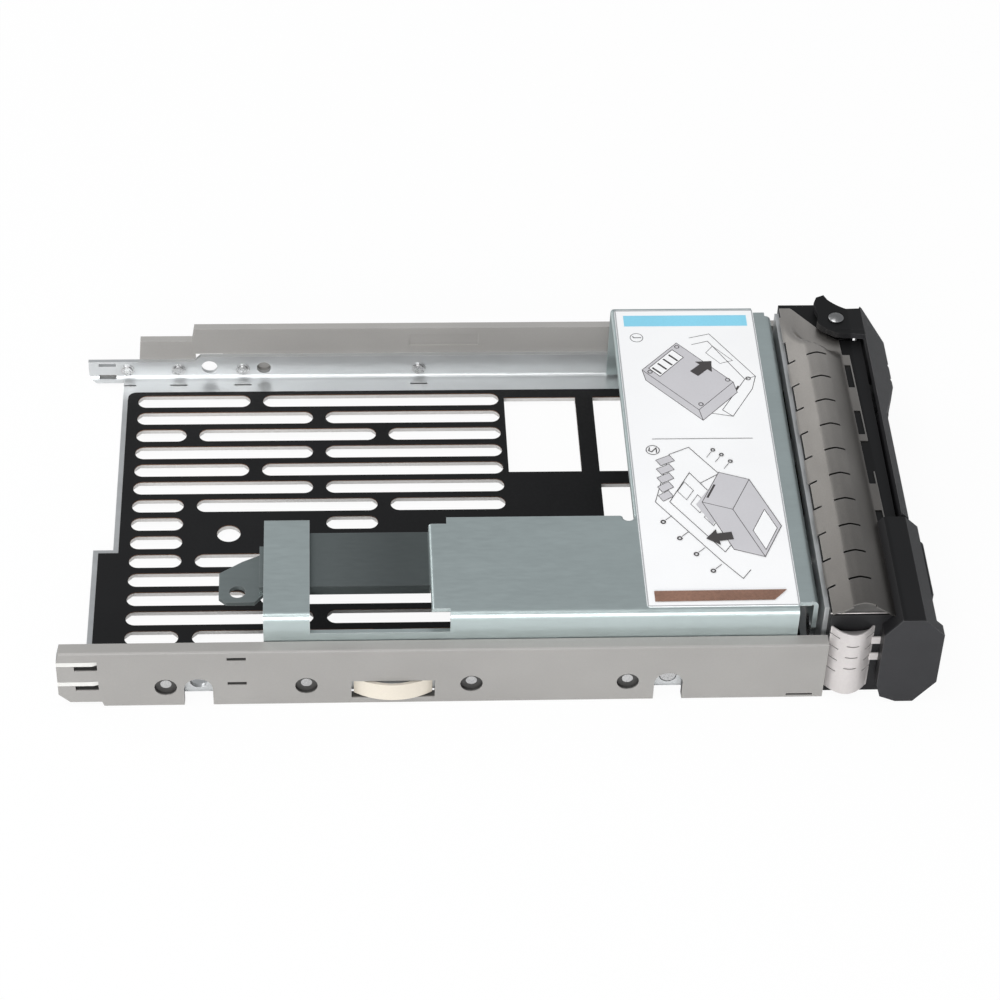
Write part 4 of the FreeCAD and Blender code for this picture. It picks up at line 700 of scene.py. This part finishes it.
@dataclass(frozen=True)
class TopStrip:
    """The arched shielding strip on the frame: fingers, slits, edge tabs and windows, in mm.

    Attributes:
        rear: x of its rear foot at the near end.
        ridge: x of its highest line.
        front: x of its front foot.
        tab_front: x where the edge tabs end.
        base: height of its feet.
        rise: height of the ridge over the feet.
        near: y of its near end.
        far: y of its far end behind the hinge.
        pin: the hinge pin, round which the strip keeps clear of the lever.
        sweep: radius that the lever's arm sweeps.
        sweep_fade: how far beyond that radius it takes the strip to reach its full height.
        pitch: spacing of the fingers.
        first: y of the first slit.
        count: how many slits it has.
        slit: half width of a slit.
        slit_half: half length of a slit across the ridge.
        thickness: sheet thickness.
        flank: half width of the ridge band.
        flank_shares: share of the rise that the band's rear and front edges have.
        notch: depth of the notches in the rear foot.
        rear_slit: length of a slit from the rear foot.
        tab_step: the grid's first stop past the front foot.
        tab_lip: width of the rim that joins the tabs.
        tab_near: how far past the last slit the tabs start.
        tab_far: how far past the first slit they end.
        tab_gap: y places between which the tabs are missing.
        bend: y from which the far end turns back beside the hinge.
        bend_x: x places of that turned end.
        bend_y: its y places after the far one.
        end_fade: length over which the far end comes down.
        lean: share by which the strip is narrower at the far end.
    """

    rear: float = 70.2
    ridge: float = 77.3
    front: float = 84.6
    tab_front: float = 86.5
    base: float = 23.75
    rise: float = 3.9
    near: float = -52.0
    far: float = 49.4
    pin: tuple[float, float] = (83.2, 43.0)
    sweep: float = 9.1
    sweep_fade: float = 3.2
    pitch: float = 8.19
    first: float = 20.9
    count: int = 9
    slit: float = 0.28
    slit_half: float = 2.5
    thickness: float = 0.28
    flank: float = 2.1
    flank_shares: tuple[float, float] = (0.84, 0.86)
    notch: float = 0.5
    rear_slit: float = 2.0
    tab_step: float = 0.25
    tab_lip: float = 0.3
    tab_near: float = 0.5
    tab_far: float = 6.0
    tab_gap: tuple[float, float] = (-7.9, 3.2)
    bend: float = 31.0
    bend_x: tuple[float, float, float] = (73.6, 81.0, 84.0)
    bend_y: tuple[float, float] = (40.4, 37.8)
    end_fade: float = 11.0
    lean: float = 0.09

    def height(self, x: np.ndarray) -> np.ndarray:
        """Height over the base: two straight flanks, a flat ridge band and soft corners."""
        fine = np.linspace(self.rear - 2, self.tab_front + 1, 400)
        rear_share, front_share = self.flank_shares
        rough = np.interp(fine, [self.rear, self.ridge - self.flank, self.ridge, self.ridge + self.flank,
                                 self.front],
                          [0, rear_share * self.rise, self.rise, front_share * self.rise, 0])
        kernel = np.hanning(33)
        soft = np.convolve(np.pad(rough, 16, mode="edge"), kernel / kernel.sum(), mode="valid")
        return np.interp(x, fine, soft)

    def cells(self, x: np.ndarray, y: np.ndarray, slits: np.ndarray) -> np.ndarray:
        """Which cells of the grid are sheet: slits, notches and the gaps between tabs are not."""
        cx, cy = np.meshgrid((x[:-1] + x[1:]) / 2, (y[:-1] + y[1:]) / 2)
        in_slit = np.min(np.abs(cy[..., None] - slits), axis=2) < self.slit
        finger = np.floor((slits[0] - cy) / self.pitch).astype(int)
        keep = ~(in_slit & (np.abs(cx - self.ridge) < self.slit_half))
        keep &= ~(in_slit & (cx < self.rear + self.rear_slit))
        keep &= ~((cx < self.rear + self.notch) & ((finger % 2 == 1) | (cy < slits[-1])))
        tab_zone = cx > self.front
        keep &= ~(tab_zone & (finger % 2 == 0) & (cx < self.tab_front - self.tab_lip))
        keep &= ~(tab_zone & ((cy < slits[-1] + self.tab_near) | (cy > slits[0] + self.tab_far)))
        return keep & ~(tab_zone & (cy > self.tab_gap[0]) & (cy < self.tab_gap[1]))

    def surface(self, x: np.ndarray, y: np.ndarray) -> np.ndarray:
        """Points of the outer skin, bent back and brought down beside the hinge."""
        xx, yy = np.meshgrid(x, y)
        share = np.clip((yy - self.bend) / (self.far - self.bend), 0, 1)
        end = np.interp(xx, self.bend_x, (self.far, *self.bend_y))
        yy = np.where(share > 0, self.bend + share * (end - self.bend), yy)
        reach = np.hypot(xx - self.pin[0], yy - self.pin[1])
        swept = np.clip((reach - self.sweep) / self.sweep_fade, 0, 1)
        ease = np.clip((self.far - yy) / self.end_fade, 0, 1)
        fade = swept * swept * (3 - 2 * swept) * ease * ease * (3 - 2 * ease)
        zz = self.base + self.height(xx) * fade
        along = (yy - self.near) / (self.far - self.near)
        return np.stack((self.rear + (xx - self.rear) * (1 - self.lean * along), yy, zz), axis=2)

    def build(self, paint: Paintbox) -> None:
        """Build the strip and its near end, and let it stand for its solid."""
        slits = self.first - self.pitch * np.arange(-1, self.count + 1)
        x = stops(np.linspace(self.rear, self.front, 41),
                  [self.rear + self.notch, self.rear + self.rear_slit],
                  [self.ridge - self.slit_half, self.ridge + self.slit_half],
                  [self.front + self.tab_step, self.tab_front - self.tab_lip, self.tab_front])
        y = stops(np.linspace(self.near, self.far, 90), *(slits + d for d in (-self.slit, self.slit)))
        strip = sheet_piece("shielding_strip_top", self.surface(x, y), self.cells(x, y, slits),
                            self.thickness, paint.get("gasket_steel"))
        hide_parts("top_gasket")
        self.fill_arch_shade(paint)

    def fill_arch_shade(self, paint: Paintbox) -> None:
        """Fill the arch at the near end with a dark sheet of painted shade, between two bright wire edges."""
        x = np.linspace(self.rear + 0.5, self.front - 0.3, 33)
        top = self.base + self.height(x) - self.thickness - 0.12
        y = self.near + 0.5 + 0.8 * (top - self.base) / self.rise
        low = np.stack((x, np.full_like(x, self.near + 0.35), np.full_like(x, self.base - 0.2)), axis=1)
        # painted shade: a near-black sheet where the arch's inside lies in shade
        skin_between("shielding_strip_arch_shade", low, np.stack((x, y, top), axis=1), paint.get("arch_shade_dark"))
        edge = self.near + 0.2
        hem = np.array([(self.rear + 0.2, edge, self.base - 0.1), (self.front - 0.1, edge, self.base - 0.1)])
        brow = np.stack((x, np.full_like(x, edge - 0.1), self.base + self.height(x) - 0.42), axis=1)
        add_bead("shielding_strip_hem", hem, paint.get("side_strip"))
        add_bead("shielding_strip_brow", brow, paint.get("side_strip"))


@dataclass(frozen=True)
class SideStrip:
    """The upright shielding strip at the frame's near end, in mm.

    Attributes:
        rear: x of its rear foot.
        front: x of its front foot.
        wall: y of its feet.
        crown: how far the arch stands out from the wall.
        low: height of its lower end.
        high: height of its upper end.
        thickness: sheet thickness.
        outer_rows: heights of the slits at both feet.
        middle_rows: heights of the slits on the crown.
        slit: half width of a slit.
        outer_slit: length of a slit from a foot.
        middle_slit: half length of a slit on the crown.
        tabs: lower and upper height of each tab at the front foot.
        tab_reach: how far a tab stands out past the front foot.
    """

    rear: float = 70.8
    front: float = 80.3
    wall: float = -52.3
    crown: float = 2.9
    low: float = 1.9
    high: float = 20.2
    thickness: float = 0.28
    outer_rows: tuple[float, ...] = (18.2, 14.8, 11.4, 8.0)
    middle_rows: tuple[float, ...] = (16.6, 13.2, 9.8)
    slit: float = 0.16
    outer_slit: float = 1.9
    middle_slit: float = 1.4
    tabs: tuple[tuple[float, float], ...] = ((15.2, 17.2), (10.2, 12.2))
    tab_reach: float = 2.1

    @property
    def middle(self) -> float:
        """x of the crown."""
        return (self.rear + self.front) / 2

    @property
    def half(self) -> float:
        """Half the width between the feet."""
        return (self.front - self.rear) / 2

    def build(self, paint: Paintbox) -> None:
        """Build the strip with its scoop and tabs, and let it stand for its solid."""
        rows = [np.array(places) for places in (self.outer_rows, self.middle_rows)]
        x = stops(np.linspace(self.rear, self.front, 31),
                  [self.rear + self.outer_slit, self.front - self.outer_slit],
                  [self.middle - self.middle_slit, self.middle + self.middle_slit],
                  [self.rear + 0.5, self.front - 0.5])
        z = stops(np.linspace(self.low, self.high, 30),
                  *(r + d for r in rows for d in (-self.slit, self.slit)))
        xx, zz = np.meshgrid(x, z)
        out = np.clip(np.abs(xx - self.middle) / self.half * 1.04, 0, 1)
        grid = np.stack((xx, self.wall - self.crown * (1 - out ** 2.0), zz), axis=2)
        cx, cz = np.meshgrid((x[:-1] + x[1:]) / 2, (z[:-1] + z[1:]) / 2)
        at_outer, at_middle = (np.min(np.abs(cz[..., None] - r), axis=2) < self.slit for r in rows)
        keep = ~(at_outer & ((cx < self.rear + self.outer_slit) | (cx > self.front - self.outer_slit)))
        keep &= ~(at_middle & (np.abs(cx - self.middle) < self.middle_slit))
        material = paint.get("side_strip")
        strip = sheet_piece("shielding_strip_side", grid, keep, self.thickness, material)
        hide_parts("near_gasket")
        self.scoop(material)
        for number, (low, high) in enumerate(self.tabs):
            self.tab(f"side_strip_tab_{number + 1}", low, high, material)

    def scoop(self, material: bpy.types.Material) -> None:
        """Close the strip's upper end with a hollow curved skin."""
        u = np.linspace(-1, 1, 25)
        x = self.middle + u * (self.half - 0.3)
        arc = np.stack((x, self.wall - (self.crown - 0.35) * (1 - u ** 2), np.full_like(u, self.high - 0.15)),
                       axis=1)
        chord = np.stack((x, np.full_like(u, self.wall + 0.1), self.high - 1.5 * (1 - u ** 2) ** 0.5 - 0.2),
                         axis=1)
        skin_between("side_strip_scoop", arc, chord, material)

    def tab(self, name: str, low: float, high: float, material: bpy.types.Material) -> None:
        """Add one flat tab at the front foot between two heights."""
        x0, x1 = self.front - 0.4, self.front + self.tab_reach
        y0, y1 = self.wall - 0.55, self.wall - 0.2
        points = [(x, y, z) for z in (low, high) for x, y in ((x0, y0), (x1, y0), (x1, y1), (x0, y1))]
        faces = [(3, 2, 1, 0), (4, 5, 6, 7), (0, 1, 5, 4), (1, 2, 6, 5), (2, 3, 7, 6), (3, 0, 4, 7)]
        add_piece(name, np.array(points), faces, material, False)


class LabelPrint:
    """The label's print: fields of colour and thin lines just above the paper.

    Places on the label are (across, down) in millimetres from its far rear corner: X and -Y.

    Args:
        paint: where finishes come from.
    """

    CORNER = (31.2, 49.2)    # x and y of that corner
    PAPER = 23.65            # height of the paper's top
    FIRST_LIFT = 0.01        # of the print over the paper
    LIFT_STEP = 0.0004       # of each field over the one before
    THIN = 0.16              # width of a common line

    def __init__(self, paint: Paintbox) -> None:
        self.paint = paint
        self.layers: dict[str, tuple[list, list]] = {}
        self.lift = self.FIRST_LIFT

    def field(self, ink: str, outline: list[tuple[float, float]]) -> None:
        """Add a filled outline of one ink, a hair above what was printed before it."""
        points, faces = self.layers.setdefault(ink, ([], []))
        start = len(points)
        self.lift += self.LIFT_STEP
        points += [(self.CORNER[0] + a, self.CORNER[1] - d, self.PAPER + self.lift) for a, d in outline]
        faces.append(tuple(range(start + len(outline) - 1, start - 1, -1)))

    def line(self, outline: list[tuple[float, float]], width: float = THIN, closed: bool = False,
             ink: str = "print_line") -> None:
        """Add a thin line along points: one flat strip for each stretch."""
        ring = outline + outline[:1] if closed else outline
        for (a0, d0), (a1, d1) in zip(ring, ring[1:]):
            run = math.hypot(a1 - a0, d1 - d0)
            if run < 1e-6:
                continue
            ha, hd = (a1 - a0) / run * width / 2, (d1 - d0) / run * width / 2
            start, end = (a0 - ha, d0 - hd), (a1 + ha, d1 + hd)
            self.field(ink, [(start[0] - hd, start[1] + ha), (end[0] - hd, end[1] + ha),
                             (end[0] + hd, end[1] - ha), (start[0] + hd, start[1] - ha)])

    def ring(self, across: float, down: float, radius: float, width: float = THIN) -> None:
        """Add a circle line."""
        turn = [2 * math.pi * k / 20 for k in range(20)]
        self.line([(across + radius * math.cos(t), down + radius * math.sin(t)) for t in turn], width, True)

    def slab(self, at: tuple[float, float], long: tuple[float, float], wide: tuple[float, float],
             thick: tuple[float, float], ink: str) -> None:
        """Add a box seen from above at a slant: top field, two sides and their edges."""
        (a, d), (la, ld), (wa, wd), (ta, td) = at, long, wide, thick
        top = [(a, d), (a + la, d + ld), (a + la + wa, d + ld + wd), (a + wa, d + wd)]
        left = [top[0], top[3], (top[3][0] + ta, top[3][1] + td), (a + ta, d + td)]
        front = [top[3], top[2], (top[2][0] + ta, top[2][1] + td), (top[3][0] + ta, top[3][1] + td)]
        for outline in (top, left, front):
            self.field(ink, outline)
            self.line(outline, closed=True)

    def arrow(self, tip: tuple[float, float], angle: float, size: float) -> None:
        """Add a filled arrow that points along an angle."""
        shape = [(0, 0), (-2.1, 1.9), (-2.1, 0.9), (-4.6, 0.9), (-4.6, -0.9), (-2.1, -0.9), (-2.1, -1.9)]
        c, s = math.cos(angle), math.sin(angle)
        spots = [(tip[0] + size * (c * u - s * v), tip[1] + size * (s * u + c * v)) for u, v in shape]
        self.field("print_line", [spots[0], spots[1], spots[6]])
        self.field("print_line", [spots[2], spots[3], spots[4], spots[5]])

    def first_step(self) -> None:
        """The far picture: a grey drive about to slide into an open frame."""
        self.ring(4.6, 10.0, 1.5)
        self.line([(3.7, 9.6), (4.0, 10.0), (5.6, 10.0)], 0.26)
        self.line([(17.0, 10.2), (21.8, 8.8), (31.2, 24.0), (30.0, 28.4), (24.6, 37.8), (19.4, 36.6)])
        self.line([(17.4, 12.6), (21.2, 11.4), (28.6, 25.0), (31.2, 24.0)])
        self.line([(28.6, 25.0), (22.4, 35.6), (24.6, 37.8)])
        self.line([(22.2, 13.2), (26.4, 18.4), (23.4, 19.4), (20.4, 15.6)], 0.12, True)
        self.line([(26.8, 27.6), (24.4, 31.6)], 0.5)
        self.slab((5.0, 21.5), (8.8, -9.5), (12.0, 14.0), (0.6, 3.6), "print_grey")
        plate = [(6.6, 20.9), (12.6, 14.4), (15.0, 17.2), (9.0, 23.8)]
        self.field("label", plate)
        self.line(plate, 0.2, True)
        for step in range(4):
            self.line([(7.6 + step * 1.4, 20.9 - step * 1.5), (9.2 + step * 1.4, 22.7 - step * 1.5)], 0.5)
        for across, down in ((13.8, 13.4), (24.6, 25.2), (17.6, 33.6), (6.8, 22.2), (29.4, 24.8)):
            self.ring(across, down, 0.5, 0.2)
        self.arrow((21.4, 18.6), -0.78, 1.35)

    def second_step(self) -> None:
        """The near picture: a carrier with its screws, and a drive that goes in from the front."""
        self.ring(5.2, 49.0, 1.5)
        self.line([(4.5, 48.3), (4.3, 49.2), (4.9, 49.6), (6.0, 48.3), (6.0, 49.8)], 0.24)
        self.line([(8.8, 50.5), (13.4, 48.2), (19.4, 57.0), (15.0, 60.0)])
        self.line([(8.8, 50.5), (4.4, 66.0), (17.5, 85.0), (21.5, 90.2), (23.4, 87.6)])
        self.line([(7.6, 66.0), (12.8, 56.6), (17.6, 64.4)])
        self.line([(7.6, 66.0), (18.4, 82.0), (20.6, 78.8)])
        for step in range(5):
            base, rear, front = 52.4 + step * 2.9, 5.6 - step * 0.1, 8.8 - step * 0.3
            fold = [(rear, base), (front, base - 1.6), (front + 1.0, base + 0.2), (rear + 1.0, base + 1.8)]
            self.field("print_grey", fold)
            self.line(fold, 0.14, True)
        for step in range(3):
            a, d = step * 2.6, step * 4.2
            self.line([(9.6 + a, 62.6 + d), (11.4 + a, 59.6 + d), (13.2 + a, 62.4 + d), (11.4 + a, 65.4 + d)],
                      0.12, True)
        self.field("print_grey", [(13.4, 67.0), (16.6, 62.0), (20.0, 67.4), (16.4, 73.4)])
        self.slab((14.8, 66.2), (4.6, -9.6), (6.6, 2.4), (5.6, 15.0), "print_grey")
        window = [(25.2, 75.4), (28.4, 68.7), (30.6, 74.7), (27.4, 81.4)]
        self.field("label", window)
        self.line(window, closed=True)
        self.line([(16.2, 64.6), (18.0, 60.8)], 0.5)
        for across, down in ((5.6, 72.4), (8.8, 77.6), (12.0, 82.6), (15.2, 87.8)):
            self.ring(across, down, 0.45, 0.3)
            self.line([(across + 0.6, down - 0.6), (across + 2.0, down - 1.9)], 0.14)
        for across, down in ((20.6, 50.8), (22.4, 53.0), (18.8, 49.2)):
            self.ring(across, down, 0.4, 0.26)
            self.line([(across - 0.4, down + 0.6), (across - 1.6, down + 2.4)], 0.12)
        self.arrow((14.6, 77.8), 3.0, 1.3)

    def build(self) -> None:
        """Draw the whole print and make one piece of each ink."""
        self.line([(0.25, 0.25), (32.75, 0.25), (32.75, 98.15), (0.25, 98.15)], 0.3, True, "print_edge")
        self.field("print_blue", [(2.0, 2.0), (31.2, 2.0), (31.2, 5.9), (2.0, 5.9)])
        self.first_step()
        self.line([(5.4, 45.3), (28.2, 45.3)], 0.14)
        self.second_step()
        self.field("print_brown", [(1.8, 93.8), (30.6, 93.7), (27.6, 96.8), (1.8, 97.0)])
        for ink, (points, faces) in self.layers.items():
            add_piece("label_" + ink, np.array(points), faces, self.paint.get(ink), False)


LEVER_WEB = [(80.4, 39.3), (82.6, 37.9), (89.5, 37.2), (89.5, 39.3)]
LEVER_WEB_HEIGHTS = (24.5, 25.96)


def main() -> None:
    """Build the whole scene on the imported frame."""
    logging.basicConfig(level=logging.INFO)
    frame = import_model()
    paint = Paintbox(FINISHES)
    paint_nodes(frame, paint)
    TopStrip().build(paint)
    SideStrip().build(paint)
    LabelPrint(paint).build()
    add_prism("lever_arm_web", LEVER_WEB, *LEVER_WEB_HEIGHTS, paint.get("charcoal_plastic"),
              "charcoal_plastic", "lever")
    add_camera(CameraView())
    for lamp in LAMPS:
        add_lamp(lamp)
    add_world()
    add_floor()
    bpy.context.scene.view_settings.view_transform = "Standard"
    LOG.info("%d CAD nodes painted", len(frame["nodes"]))


if __name__ == "__main__":
    main()
